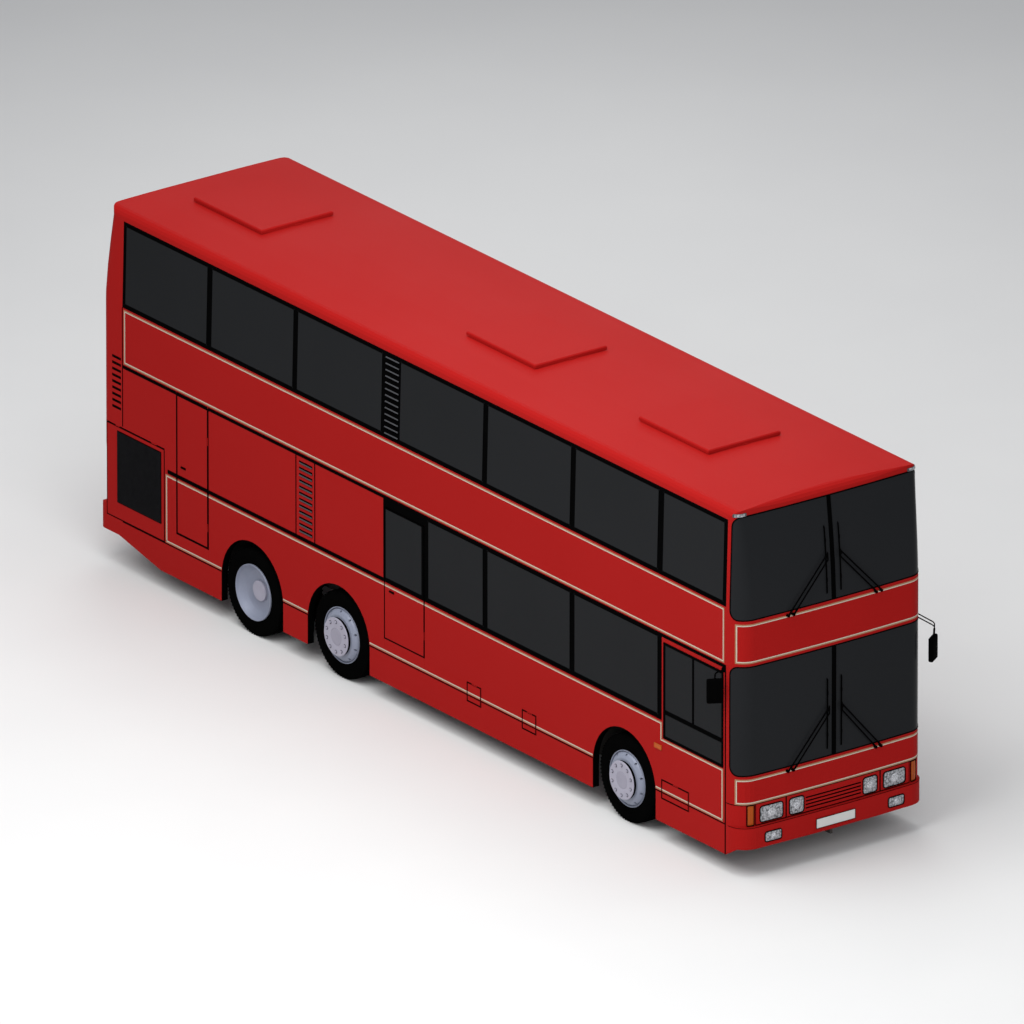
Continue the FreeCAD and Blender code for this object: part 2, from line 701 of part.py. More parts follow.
def front_panel():
    """Panel under the lower windscreen with its lamp openings and grille slots."""
    shell = front_shell(SKIRT_TOP, SCREEN_LOWER_BOTTOM, WALL)
    for lamp in HEAD_LAMPS:
        for cutter in lamp_cutters(lamp):
            shell = shell.cut(cutter)
    for cutter in lamp_cutters(AMBER):
        shell = shell.cut(cutter)
    for index in range(GRILLE_SLOTS):
        low = GRILLE_LOW + index * GRILLE_PITCH
        face = FRONT_TIP - 30
        slot = box(face, FRONT_TIP + 50, -GRILLE_HALF, GRILLE_HALF, low, low + GRILLE_SLOT)
        shell = shell.cut(slot)
    return shell


def lenses(shapes, z0, z1, outset):
    """Lamp bodies that fill their openings flush with the curved panel."""
    shell = front_shell(z0, z1, LENS_DEPTH, outset)
    solids = []
    for shape in shapes:
        for cutter in lamp_cutters(shape):
            solids.append(shell.common(cutter))
    return solids


def front_bumper():
    """Bumper under the front panel, cut up towards the middle, with fog lamp openings."""
    outer = end_block(
        FRONT_LINE, FRONT_TIP + BUMPER_PROUD, FRONT_CORNER, SKIRT_BOTTOM, SKIRT_TOP
    )
    inner = end_block(
        FRONT_LINE, FRONT_TIP + BUMPER_PROUD, FRONT_CORNER, SKIRT_BOTTOM, SKIRT_TOP, WALL
    )
    shell = outer.cut(inner)
    rise = BUMPER_BOTTOM - SKIRT_BOTTOM
    under = [
        (FRONT_LINE, -2 * HALF, SKIRT_BOTTOM),
        (FRONT_LINE + 1.6 * rise, -2 * HALF, BUMPER_BOTTOM),
        (FRONT_TIP + 200, -2 * HALF, BUMPER_BOTTOM),
        (FRONT_TIP + 200, -2 * HALF, BUMPER_BOTTOM),
        (FRONT_TIP + 200, -2 * HALF, 0),
        (FRONT_LINE, -2 * HALF, 0),
    ]
    shell = shell.cut(prism(under, (0, 4 * HALF, 0)))
    for cutter in lamp_cutters(FOG):
        shell = shell.cut(cutter)
    face = FRONT_TIP + BUMPER_PROUD
    half = PLATE_WIDTH / 2
    plate_top = PLATE_BOTTOM + PLATE_HEIGHT
    plate = box(face - 20, face + PLATE_PROUD, -half, half, PLATE_BOTTOM, plate_top)
    return fuse([shell, plate])


def fog_lenses():
    """Fog lamps flush with the bumper."""
    solids = []
    for cutter in lamp_cutters(FOG):
        y = cutter.BoundBox.Center.y
        face = front_face_x(y) + BUMPER_PROUD
        slab = box(face - WALL, face - 4, -HALF, HALF, SKIRT_BOTTOM, SKIRT_TOP)
        solids.append(cutter.common(slab))
    return solids


def windscreens():
    """Two screens that wrap round the corners: an upright lower one and a leaning upper one."""
    lower = front_shell(SCREEN_LOWER_BOTTOM, BAND_BOTTOM, SCREEN_THICKNESS)
    outer = end_loft(FRONT_LINE, FRONT_TIP, FRONT_CORNER, FRONT_LEAN)
    inner = end_loft(FRONT_LINE, FRONT_TIP, FRONT_CORNER, FRONT_LEAN, SCREEN_THICKNESS)
    return [lower, outer.cut(inner)]


def windscreen_posts():
    """Corner and middle posts behind the screens, and the entrance's front post."""
    inset = SCREEN_THICKNESS
    half = MIDDLE_POST / 2
    z0, z1 = SCREEN_LOWER_BOTTOM, BAND_BOTTOM
    inner = end_block(FRONT_LINE, FRONT_TIP, FRONT_CORNER, z0, z1, inset)
    posts = [inner.common(box(FRONT_TIP - SCREEN_POST, FRONT_TIP, -half, half, z0, z1))]
    corners = []
    for s in (-1, 1):
        corner = box(FRONT_LINE, FRONT_LINE + SCREEN_POST, s * INNER, s * HALF, z0, z1)
        corners.append(inner.common(corner))
    door_post = side_plate(rectangle(DOOR_FRONT, FRONT_LINE, DOOR_BOTTOM, DOOR_TOP + GAP), 1)
    lugs = [
        upright_lug(DOOR_FRONT - HINGE_GAP / 2, 1, z, DOOR_FRONT + 20) for z in DOOR_HINGES
    ]
    posts += [corners[0], fuse([corners[1], door_post] + lugs)]
    inner = end_loft(FRONT_LINE, FRONT_TIP, FRONT_CORNER, FRONT_LEAN, inset)
    low, high = [
        (front_face_x(0, z) - inset - SCREEN_POST, -half, z) for z in (BAND_TOP, SCREEN_TOP)
    ]
    centre = [low, (FRONT_TIP, -half, low[2]), (FRONT_TIP, -half, high[2]), high]
    posts.append(inner.common(prism(centre, (0, MIDDLE_POST, 0))))
    for s in (-1, 1):
        corner = box(
            FRONT_LINE, FRONT_LINE + SCREEN_POST, s * (INNER - 25), s * HALF, BAND_TOP, SCREEN_TOP
        )
        posts.append(inner.common(corner))
    return posts


# Rear end


def rear_shell(z0, z1, inner_inset, outset=0.0):
    """Shell of the rear corners and engine door, which tuck in towards the bottom."""
    height = FLAP_TOP - ENGINE_DOOR_BOTTOM + GAP
    bend = ENGINE_DOOR_BOTTOM - GAP + 0.73 * height
    leans = []
    for z in sorted({z0, bend, z1}):
        if z0 <= z <= z1:
            share = max(0.0, bend - z) / (bend - ENGINE_DOOR_BOTTOM + GAP)
            leans.append((z, REAR_TUCK * share))
    outer = end_loft(REAR_LINE, REAR_TIP, REAR_CORNER, leans, -outset)
    return outer.cut(end_loft(REAR_LINE, REAR_TIP, REAR_CORNER, leans, inner_inset))


def rear_moulding():
    """Rear face from the engine door up to the roof, with the rear window opening."""
    leans = ((FLAP_TOP, 0.0), (UPPER_BAND_BOTTOM, 0.0)) + REAR_LEAN
    outer = end_loft(REAR_LINE, REAR_TIP, REAR_CORNER, leans)
    shell = outer.cut(end_loft(REAR_LINE, REAR_TIP, REAR_CORNER, leans, WALL))
    axis_z = FLAP_TOP - HINGE_GAP / 2
    lugs = []
    for y in ENGINE_DOOR_HINGES:
        start = y + BARREL_LENGTH / 2 + HINGE_FIT
        web = box(REAR_TIP, REAR_TIP + 12, start, start + LUG_LENGTH, axis_z, FLAP_TOP + 20)
        centre = (REAR_TIP, start + LUG_LENGTH / 2, axis_z)
        lugs.append(hinge_barrel(centre, (0, 1, 0), web, LUG_LENGTH))
    return fuse([shell] + lugs).cut(rear_window_prism())


def rear_window_prism():
    """Cutter of the rear window opening."""
    low, high = REAR_WINDOW
    return box(
        REAR_TIP - 50, REAR_TIP + 300, -REAR_WINDOW_HALF, REAR_WINDOW_HALF, low, high
    )


def rear_glass():
    """Rear window pane that follows the leaning face."""
    outer = end_loft(REAR_LINE, REAR_TIP, REAR_CORNER, REAR_LEAN)
    inner = end_loft(REAR_LINE, REAR_TIP, REAR_CORNER, REAR_LEAN, GLASS)
    return outer.cut(inner).common(rear_window_prism())


def rear_quarters():
    """Corner panels beside the engine door, with openings for the lamp clusters."""
    shell = rear_shell(ENGINE_DOOR_BOTTOM - GAP, FLAP_TOP, WALL)
    panels = []
    for s in (-1, 1):
        start = s * (ENGINE_DOOR_HALF + GAP)
        keep = box(REAR_TIP - 50, FLAP_REAR - GAP, start, s * 2 * HALF, 0, FLAP_TOP)
        panels.append(shell.common(keep).cut(rear_lamp_prism(s)))
    return panels


def rear_lamp_prism(side):
    """Cutter of one rear lamp cluster."""
    y, z, across, up = REAR_LAMP
    return box(
        REAR_TIP - 50, REAR_TIP + 100, side * (y - across / 2), side * (y + across / 2),
        z - up / 2, z + up / 2,
    )


def rear_lamps():
    """Lamp clusters that fill the openings of the rear quarters."""
    shell = rear_shell(ENGINE_DOOR_BOTTOM - GAP, FLAP_TOP, LENS_DEPTH, LENS_PROUD)
    return [shell.common(rear_lamp_prism(s)) for s in (-1, 1)]


def rear_bumper():
    """Bumper that wraps the rear corners and rises to the engine door."""
    top = ENGINE_DOOR_BOTTOM - GAP
    slope_end, low = SKIRT_SLOPE[1], SKIRT_SLOPE[2]
    tip = REAR_TIP - REAR_BUMPER_PROUD
    outer = end_block(REAR_LINE, tip, REAR_BUMPER_CORNER, low, top)
    inner = end_block(REAR_LINE, tip, REAR_BUMPER_CORNER, low, top, 2 * WALL)
    profile = [
        (slope_end, low),
        (slope_end, SKIRT_TOP),
        (FLAP_REAR - GAP, SKIRT_TOP),
        (FLAP_REAR - GAP, top),
        (REAR_TIP + REAR_TUCK, top),
        (tip, SKIRT_TOP + 40),
        (tip, low),
    ]
    points = [(x, -2 * HALF, z) for x, z in profile]
    return outer.cut(inner).common(prism(points, (0, 4 * HALF, 0)))


# Roof


def roof_outline(inset):
    """Plan outline of the roof drawn in by an inset."""
    half = half_width(EAVES) - inset
    front = FRONT_TIP - FRONT_LEAN[-1][1] - inset
    rear = REAR_TIP + REAR_LEAN[-1][1] + inset
    ahead = end_outline(FRONT_LINE, front, half, FRONT_CORNER - inset)
    behind = end_outline(REAR_LINE, rear, half, REAR_CORNER - inset)
    return ahead + behind[::-1]


def arched_section(start, end, side_top, crown_top):
    """Outline of a section with rounded upper edges and, between them, a crowned top."""
    radius = ROOF_EDGE_RADIUS
    rounded = []
    for index in range(ROOF_EDGE_RUNS + 1):
        angle = math.pi / 2 * index / ROOF_EDGE_RUNS
        rounded.append((radius * (1 - math.cos(angle)), side_top - radius + radius * math.sin(angle)))
    middle = (start + end) / 2
    half = (end - start) / 2 - radius
    crown = []
    if crown_top > side_top:
        for index in range(1 - ROOF_CROWN_RUNS, ROOF_CROWN_RUNS):
            share = index / ROOF_CROWN_RUNS
            crown.append((middle + share * half, crown_top - (crown_top - side_top) * share ** 2))
    outline = [(start, EAVES)]
    outline += [(start + along, z) for along, z in rounded]
    outline += crown
    outline += [(end - along, z) for along, z in reversed(rounded)]
    return outline + [(end, EAVES)]


def roof():
    """Crowned roof with rounded edges, hollow below, with an opening under each hatch."""
    half = half_width(EAVES)
    front = FRONT_TIP - FRONT_LEAN[-1][1]
    rear = REAR_TIP + REAR_LEAN[-1][1]
    across = [(rear, y, z) for y, z in arched_section(-half, half, ROOF_TOP - ROOF_DROP, ROOF_TOP)]
    along = [(x, -half, z) for x, z in arched_section(rear, front, ROOF_TOP, ROOF_TOP)]
    block = prism(across, (front - rear, 0, 0)).common(prism(along, (0, 2 * half, 0)))
    plan = upright(roof_outline(0), EAVES, ROOF_TOP)
    cutters = [
        upright(roof_outline(WALL), EAVES, ROOF_TOP - ROOF_THICKNESS),
        box(FRONT_LINE, FRONT_TIP, -HALF, HALF, EAVES, SCREEN_TOP),
    ]
    for _, x in HATCHES:
        cutters.append(
            box(
                x + HATCH_LIP, x + HATCH_LENGTH - HATCH_LIP,
                HATCH_LIP - HATCH_HALF, HATCH_HALF - HATCH_LIP, EAVES, ROOF_TOP + 50,
            )
        )
    return fuse([block.common(plan).cut(cutters)] + [hatch_lug(x) for _, x in HATCHES])


def hatch_lug(x):
    """Barrel on the roof beside a hatch's hinge barrel."""
    start = BARREL_LENGTH / 2 + HINGE_FIT
    axis_x = x + HATCH_LENGTH + HATCH_HINGE
    z = HATCH_BASE + BARREL + 1
    half = BARREL - 1
    web = box(axis_x - half, axis_x + half, start, start + LUG_LENGTH, ROOF_TOP - 20, z)
    return hinge_barrel((axis_x, start + LUG_LENGTH / 2, z), (0, 1, 0), web, LUG_LENGTH)


def hatch(x):
    """Raised hatch lid hinged at its front edge."""
    lid = box(x, x + HATCH_LENGTH, -HATCH_HALF, HATCH_HALF, HATCH_BASE, HATCH_BASE + HATCH_HEIGHT)
    upper = [e for e in lid.Edges if e.BoundBox.ZMin > HATCH_BASE + HATCH_HEIGHT - 1]
    lid = lid.makeChamfer(HATCH_CHAMFER, upper)
    axis_x = x + HATCH_LENGTH + HATCH_HINGE
    z = HATCH_BASE + BARREL + 1
    half = BARREL_LENGTH / 2
    web = box(axis_x - HATCH_HINGE - 4, axis_x, -half, half, z - WEB_DEPTH, z + WEB_DEPTH)
    return fuse([lid, hinge_barrel((axis_x, 0, z), (0, 1, 0), web)])


# Doors and flaps


def passenger_door():
    """Glazed entrance door with its hinge at the front edge."""
    x0, x1 = DOOR_REAR + GAP, DOOR_FRONT - HINGE_GAP
    door = side_plate(rectangle(x0, x1, DOOR_BOTTOM, DOOR_TOP), 1)
    door = door.cut(side_plate(door_glass_outline(), 1))
    hinge_x = DOOR_FRONT - HINGE_GAP / 2
    return fuse([door] + [upright_hinge(hinge_x, 1, z) for z in DOOR_HINGES])


def door_glass_outline():
    """Outline of the glass of the entrance door."""
    return rectangle(
        DOOR_REAR + GAP + DOOR_FRAME, DOOR_FRONT - HINGE_GAP - DOOR_FRAME,
        DOOR_BOTTOM + 2 * DOOR_FRAME, DOOR_TOP - DOOR_FRAME,
    )


def emergency_door():
    """Offside emergency door with a window, hinged at its front edge."""
    x0, x1, z0, z1 = EMERGENCY
    door = side_plate(rectangle(x0, x1, z0, z1), -1)
    door = door.cut(side_plate(rectangle(*EMERGENCY_GLASS), -1))
    hinge_x = x1 + HINGE_GAP / 2
    return fuse([door] + [upright_hinge(hinge_x, -1, z) for z in HINGE_HEIGHTS])


def service_door():
    """Narrow offside door ahead of the engine bay, hinged at its front edge."""
    x0, x1, z0, z1 = SERVICE
    door = side_plate(rectangle(x0, x1, z0, z1), -1)
    hinge_x = x1 + HINGE_GAP / 2
    return fuse([door] + [upright_hinge(hinge_x, -1, z) for z in HINGE_HEIGHTS])


def top_hung_flap(x0, x1, z0, z1, side, depth, hinges):
    """Side flap with barrels along its top edge."""
    flap = side_plate(rectangle(x0, x1, z0, z1), side, depth=depth)
    barrels = []
    half = BARREL_LENGTH / 2
    axis_z = z1 + HINGE_GAP / 2
    for x in hinges:
        web = box(x - half, x + half, side * (HALF - WEB_DEPTH), side * HALF, z1 - 8, axis_z)
        barrels.append(hinge_barrel((x, side * HALF, axis_z), (1, 0, 0), web))
    return fuse([flap] + barrels)


def engine_flap(side):
    """Flap over the side of the engine bay, with upright slots that let air in."""
    top = FLAP_TOP - HINGE_GAP
    flap = top_hung_flap(FLAP_REAR, FLAP_FRONT, FLAP_BOTTOM, top, side, WALL, FLAP_HINGES)
    rear, front, low, high = FLAP_SLOTS
    count = FLAP_SLOT_COUNT
    slots = []
    for index in range(count):
        x = rear + (front - rear) * (index + 0.5) / count
        outline = rectangle(x - FLAP_SLOT_WIDTH / 2, x + FLAP_SLOT_WIDTH / 2, low, high)
        slots.append(side_plate(outline, side, depth=LOUVRE_DEPTH))
    return flap.cut(slots)


def engine_door():
    """Rear door over the engine, hung from its top edge."""
    top = FLAP_TOP - HINGE_GAP
    keep = box(
        REAR_TIP - 50, REAR_TIP + 150, -ENGINE_DOOR_HALF, ENGINE_DOOR_HALF, ENGINE_DOOR_BOTTOM, top
    )
    pieces = [rear_shell(ENGINE_DOOR_BOTTOM - GAP, FLAP_TOP, WALL).common(keep)]
    axis_z = FLAP_TOP - HINGE_GAP / 2
    half = BARREL_LENGTH / 2
    for y in ENGINE_DOOR_HINGES:
        web = box(REAR_TIP, REAR_TIP + 12, y - half, y + half, top - 8, axis_z)
        pieces.append(hinge_barrel((REAR_TIP, y, axis_z), (0, 1, 0), web))
    return fuse(pieces)


# Floors and inside


def deck(z0, z1, rear, front_tip):
    """Floor plate that fills the body's plan from a rear edge to the front."""
    return upright(end_outline(rear, front_tip, INNER, FRONT_CORNER - WALL), z0, z1)


def lower_floor():
    """Floor of the lower deck with the step well and the wheelhouses cut out."""
    plate = deck(FLOOR - FLOOR_THICKNESS, FLOOR, ENGINE_BULKHEAD, FRONT_TIP - WALL)
    cutters = [box(DOOR_REAR, FRONT_LINE - WALL, STEP_WELL_INNER, HALF, 0, FLOOR + 10)]
    for x0, x1 in WHEELHOUSES:
        for s in (-1, 1):
            cutters.append(box(x0, x1, s * WHEELHOUSE_INNER, s * HALF, 0, FLOOR + 10))
    return plate.cut(cutters)


def wheelhouses():
    """Sheet boxes over the wheels, open below and towards the arch."""
    solids = []
    sheet = WHEELHOUSE_SHEET
    low = SKIRT_TOP
    for x0, x1 in WHEELHOUSES:
        for s in (-1, 1):
            outer = box(x0, x1, s * WHEELHOUSE_INNER, s * INNER, low, WHEELHOUSE_TOP)
            inner = box(
                x0 + sheet, x1 - sheet, s * (WHEELHOUSE_INNER + sheet), s * HALF, 0,
                WHEELHOUSE_TOP - sheet,
            )
            solids.append(outer.cut(inner))
    return solids


def entrance_steps():
    """Folded treads from the entrance up to the floor."""
    plate = 30.0
    outer_y = INNER - 5
    treads = (360.0, 550.0)
    mid_y = (outer_y + STEP_WELL_INNER) / 2
    under = [
        (outer_y, treads[0]),
        (outer_y, treads[0] - plate),
        (mid_y - plate, treads[0] - plate),
        (mid_y - plate, treads[1] - plate),
        (STEP_WELL_INNER, treads[1] - plate),
        (STEP_WELL_INNER, FLOOR),
        (STEP_WELL_INNER + plate, FLOOR),
        (STEP_WELL_INNER + plate, treads[1]),
        (mid_y, treads[1]),
        (mid_y, treads[0]),
    ]
    points = [(DOOR_REAR, y, z) for y, z in under]
    return prism(points, (FRONT_LINE - WALL - DOOR_REAR, 0, 0))


def staircase():
    """Straight flight on the offside, rising towards the rear."""
    rise = (UPPER_FLOOR - FLOOR) / (STAIR_TREADS + 1)
    points = [(STAIR_FOOT, FLOOR)]
    for index in range(STAIR_TREADS):
        x = STAIR_FOOT - index * STAIR_GOING
        z = FLOOR + (index + 1) * rise
        points.append((x, z))
        points.append((x - STAIR_GOING, z))
    end = STAIR_FOOT - STAIR_TREADS * STAIR_GOING
    points.append((end, FLOOR + STAIR_TREADS * rise - STAIR_SLAB - rise))
    points.append((STAIR_FOOT - STAIR_GOING, FLOOR))
    outline = [(x, -INNER, z) for x, z in points]
    return prism(outline, (0, STAIR_WIDTH, 0))


def upper_floor():
    """Floor of the upper deck with the stairwell cut out."""
    z0 = UPPER_FLOOR - UPPER_FLOOR_THICKNESS
    ahead = end_outline(0, FRONT_TIP - WALL, INNER, FRONT_CORNER - WALL)
    behind = end_outline(0, REAR_TIP + WALL, INNER, REAR_CORNER - WALL)
    plate = upright(ahead[1:-1] + behind[-2:0:-1], z0, UPPER_FLOOR)
    well_inner = STAIR_WIDTH - INNER + 20
    return plate.cut(
        box(STAIR_HEAD, STAIR_FOOT + 200, -HALF, well_inner, z0 - 10, UPPER_FLOOR + 10)
    )


def bulkheads():
    """Walls behind the lower saloon and ahead of the engine."""
    top = UPPER_FLOOR - UPPER_FLOOR_THICKNESS
    rear_end = ENGINE_BULKHEAD - BULKHEAD_THICKNESS
    saloon = box(BULKHEAD - BULKHEAD_THICKNESS, BULKHEAD, -INNER, INNER, FLOOR, top)
    engine = box(rear_end, ENGINE_BULKHEAD, -INNER, INNER, RAIL_TOP, top)
    return [saloon, engine]


def seat(x, y, floor, width=SEAT_WIDTH):
    """Pair of seats as one cushion and back on a pedestal."""
    outline = [(x + dx, y - width / 2, floor + dz) for dx, dz in SEAT_PROFILE]
    return prism(outline, (0, width, 0))


def seats():
    """Rows of paired seats on both decks."""
    units = []
    for row in range(UPPER_SEAT_ROWS):
        x = UPPER_SEATS - row * SEAT_PITCH
        units.append(seat(x, SEAT_Y, UPPER_FLOOR))
        if not STAIR_HEAD - 600 < x < STAIR_FOOT + 400:
            units.append(seat(x, -SEAT_Y, UPPER_FLOOR))
    for row in range(LOWER_SEAT_ROWS):
        x = LOWER_SEATS - row * SEAT_PITCH
        units.append(seat(x, SEAT_Y, FLOOR))
        if x < STAIR_HEAD - 600:
            units.append(seat(x, -SEAT_Y, FLOOR))
    return units


def cab_fittings():
    """Driver's seat and dash."""
    driver = seat(*DRIVER_SEAT, FLOOR, DRIVER_SEAT_WIDTH)
    dash = deck(FLOOR, DASH_TOP, FRONT_LINE - 60, FRONT_TIP - WALL)
    dash = dash.cut(box(0, 2 * FRONT_TIP, STEP_WELL_INNER - 60, HALF, 0, UPPER_FLOOR))
    return [driver, dash]


# Chassis and axles


def chassis_frame():
    """Two rails, each with a pad below it for a jack."""
    rails = []
    start, end, drop = PAD
    for s in (-1, 1):
        rail = box(
            REAR_LINE - 150, FRONT_LINE - 60, s * RAIL_INNER, s * RAIL_OUTER, RAIL_BOTTOM, RAIL_TOP
        )
        pad = box(start, end, s * RAIL_INNER, s * RAIL_OUTER, RAIL_BOTTOM - drop, RAIL_BOTTOM)
        rails.append(fuse([rail, pad]))
    return rails


def cross_members():
    """Members between the rails and out to the sides, those at the ends with a towing eye."""
    half = MEMBER_HALF
    members = []
    for x in CROSS_MEMBERS:
        members.append(box(x - half, x + half, -RAIL_INNER, RAIL_INNER, RAIL_BOTTOM, RAIL_TOP))
    for x in OUTRIGGERS:
        for s in (-1, 1):
            members.append(
                box(x - half, x + half, s * RAIL_OUTER, s * INNER, RAIL_BOTTOM + 30, RAIL_TOP)
            )
    for x, way, reach in EYE_MEMBERS:
        member = box(x - half, x + half, -RAIL_INNER, RAIL_INNER, RAIL_BOTTOM, RAIL_TOP)
        members.append(fuse([member, towing_eye(x, way, reach)]))
    return members


def towing_eye(x, way, reach):
    """Upright plate below a cross-member with a bore across the vehicle."""
    tip = x + way * reach
    half = EYE_PLATE / 2
    outline = [
        (x - way * MEMBER_HALF, RAIL_BOTTOM),
        (x + way * MEMBER_HALF, RAIL_BOTTOM),
        (tip, EYE_HEIGHT + EYE_EDGE),
        (tip, EYE_HEIGHT - EYE_EDGE),
        (tip - way * 2 * EYE_EDGE, EYE_HEIGHT - EYE_EDGE),
    ]
    plate = prism([(px, -half, pz) for px, pz in outline], (0, EYE_PLATE, 0))
    centre = V(tip - way * EYE_EDGE, -EYE_PLATE, EYE_HEIGHT)
    return plate.cut(Part.makeCylinder(EYE_RADIUS, 2 * EYE_PLATE, centre, V(0, 1, 0)))


def front_axle():
    """Dropped beam between the kingpin bosses, with spring seats up to the rails."""
    z = TYRE_RADIUS
    deep = BEAM_HALF_DEPTH
    half = KINGPIN - BOSS_RADIUS + 10
    inner, outer, shift = BEAM_DROP_INNER, BEAM_DROP_OUTER, BEAM_DROP_SHIFT
    outline = [
        (half, z - deep), (half, z + deep), (outer, z + deep), (inner, z + deep - BEAM_DROP),
        (-inner, z + deep - BEAM_DROP), (-outer, z + deep), (-half, z + deep), (-half, z - deep),
        (-outer - shift, z - deep), (-inner - shift, z - deep - BEAM_DROP),
        (inner + shift, z - deep - BEAM_DROP), (outer + shift, z - deep),
    ]
    start = FRONT_AXLE - BEAM_WIDTH / 2
    pieces = [prism([(start, y, pz) for y, pz in outline], (BEAM_WIDTH, 0, 0))]
    bores = []
    for s in (-1, 1):
        base = V(FRONT_AXLE, s * KINGPIN, z - BOSS_HALF)
        pieces.append(facet_bar(base, (0, 0, 2 * BOSS_HALF), BOSS_RADIUS, AXLE_FACETS))
        pieces.append(spring_seat(FRONT_AXLE, s, z + deep - BEAM_DROP - 5))
        low = V(FRONT_AXLE, s * KINGPIN, z - 2 * BOSS_HALF)
        bores.append(Part.makeCylinder(KINGPIN_RADIUS + KINGPIN_FIT, 4 * BOSS_HALF, low))
    return fuse(pieces).cut(bores)


def spring_seat(x, side, low):
    """Block that carries a rail on an axle."""
    half = SPRING_SEAT_HALF
    return box(x - half, x + half, side * RAIL_INNER, side * RAIL_OUTER, low, RAIL_BOTTOM)


def tube_axle(x, half, banjo):
    """Straight axle tube between two hubs, with a final drive housing if driven."""
    z = TYRE_RADIUS
    pieces = [facet_bar((x, -half, z), (0, 2 * half, 0), AXLE_TUBE, AXLE_FACETS)]
    if banjo:
        centre = (x, -BANJO_HALF, z - 20)
        pieces.append(facet_bar(centre, (0, 2 * BANJO_HALF, 0), BANJO_RADIUS, AXLE_FACETS))
    for s in (-1, 1):
        pieces.append(spring_seat(x, s, z))
    return fuse(pieces)


def axle_beams():
    """Front beam, middle tube axle and drive axle."""
    middle_half = SINGLE_TRACK - HUB_FACE_DEPTH - HINGE_FIT
    rear_half = TWIN_TRACK - TWIN_SPACING - HUB_FACE_DEPTH - HINGE_FIT
    return [
        front_axle(),
        tube_axle(MIDDLE_AXLE, middle_half, False),
        tube_axle(REAR_AXLE, rear_half, True),
    ]


def knuckle(side):
    """Fork round the beam's boss with its kingpin and the hub that carries the wheel."""
    z = TYRE_RADIUS
    y = side * KINGPIN
    clear = 1.0
    low = z - BOSS_HALF - clear - EAR_THICKNESS
    high = z + BOSS_HALF + clear + EAR_THICKNESS
    pin = Part.makeCylinder(KINGPIN_RADIUS, high - low, V(FRONT_AXLE, y, low))
    hub_y = side * (SINGLE_TRACK - HUB_FACE_DEPTH - HINGE_FIT)
    web_y = side * (KINGPIN + BOSS_RADIUS + 6)
    pieces = [pin]
    pieces.append(box(FRONT_AXLE - 40, FRONT_AXLE + 40, y - side * 40, web_y, low, low + EAR_THICKNESS))
    pieces.append(box(FRONT_AXLE - 40, FRONT_AXLE + 40, y - side * 40, web_y, high - EAR_THICKNESS, high))
    pieces.append(box(FRONT_AXLE - 60, FRONT_AXLE + 60, web_y, hub_y, low, high))
    return fuse(pieces)


# Wheels


def turned(profile, x, y, side, count):
    """Ring turned about a wheel axis in flat facets; the profile has (radius, outboard) points."""
    rings = []
    for radius, out in profile:
        ring = []
        for index in range(count):
            angle = 2 * math.pi * index / count - math.pi / 2
            ring.append(
                V(x + radius * math.cos(angle), y + side * out, TYRE_RADIUS + radius * math.sin(angle))
            )
        rings.append(ring)
    faces = []
    for near, far in zip(rings, rings[1:] + rings[:1]):
        near_flat = (near[0] - near[1]).Length < 1e-6
        far_flat = (far[0] - far[1]).Length < 1e-6
        if near_flat and far_flat:
            continue
        if near_flat or far_flat:
            rim = far if near_flat else near
            faces.append(Part.Face(Part.makePolygon(rim + rim[:1])))
            continue
        for index in range(count):
            after = (index + 1) % count
            corners = [near[index], near[after], far[after], far[index]]
            faces.append(Part.Face(Part.makePolygon(corners + corners[:1])))
    shape = Part.makeSolid(Part.makeShell(faces))
    if shape.Volume < 0:
        shape.reverse()
    return shape


def tyre(x, y, side):
    """Tyre with sidewalls that bulge between the bead and the shoulder."""
    half = TYRE_WIDTH / 2
    bore = RIM_RADIUS + TYRE_FIT
    flank = [(bore, half - 16), (TYRE_RADIUS - 75, half), (TYRE_RADIUS, half - 22)]
    profile = flank + [(radius, -out) for radius, out in reversed(flank)]
    return turned(profile, x, y, side, TYRE_FACETS)


def single_rim(x, side):
    """Rim with a disc that stands out to the hub plate."""
    face = RIM_DEPTH + HUB_PROUD
    profile = [
        (0, -HUB_FACE_DEPTH),
        (RIM_RADIUS, -HUB_FACE_DEPTH),
        (RIM_RADIUS, RIM_DEPTH),
        (RIM_RADIUS - DISC_INSET, RIM_DEPTH - DISC_INSET),
        (HUB_PLATE_RADIUS, face),
        (0, face),
    ]
    return turned(profile, x, side * SINGLE_TRACK, side, RIM_FACETS)


def twin_rim(x, side):
    """Two rims as one drum with a deep dish on the outside."""
    back = -HUB_FACE_DEPTH - TWIN_SPACING
    floor = RIM_DEPTH - TWIN_DISH
    profile = [
        (0, back),
        (RIM_RADIUS, back),
        (RIM_RADIUS, RIM_DEPTH),
        (RIM_RADIUS - DISC_INSET, RIM_DEPTH),
        (HUB_PLATE_RADIUS, floor),
        (HUB_RADIUS, floor),
        (HUB_RADIUS, floor + TWIN_HUB),
        (0, floor + TWIN_HUB),
    ]
    return turned(profile, x, side * TWIN_TRACK, side, RIM_FACETS)


def wheels():
    """Write the tyre and rim of every wheel."""
    for label, side in (("left", 1), ("right", -1)):
        for name, x in (("front", FRONT_AXLE), ("middle", MIDDLE_AXLE)):
            save(name + "_tyre_" + label, tyre(x, side * SINGLE_TRACK, side))
            save(name + "_rim_" + label, single_rim(x, side))
        outer = tyre(REAR_AXLE, side * TWIN_TRACK, side)
        inner = tyre(REAR_AXLE, side * (TWIN_TRACK - TWIN_SPACING), side)
        save("rear_tyres_" + label, [outer, inner])
        save("rear_rim_" + label, twin_rim(REAR_AXLE, side))


# Fittings outside


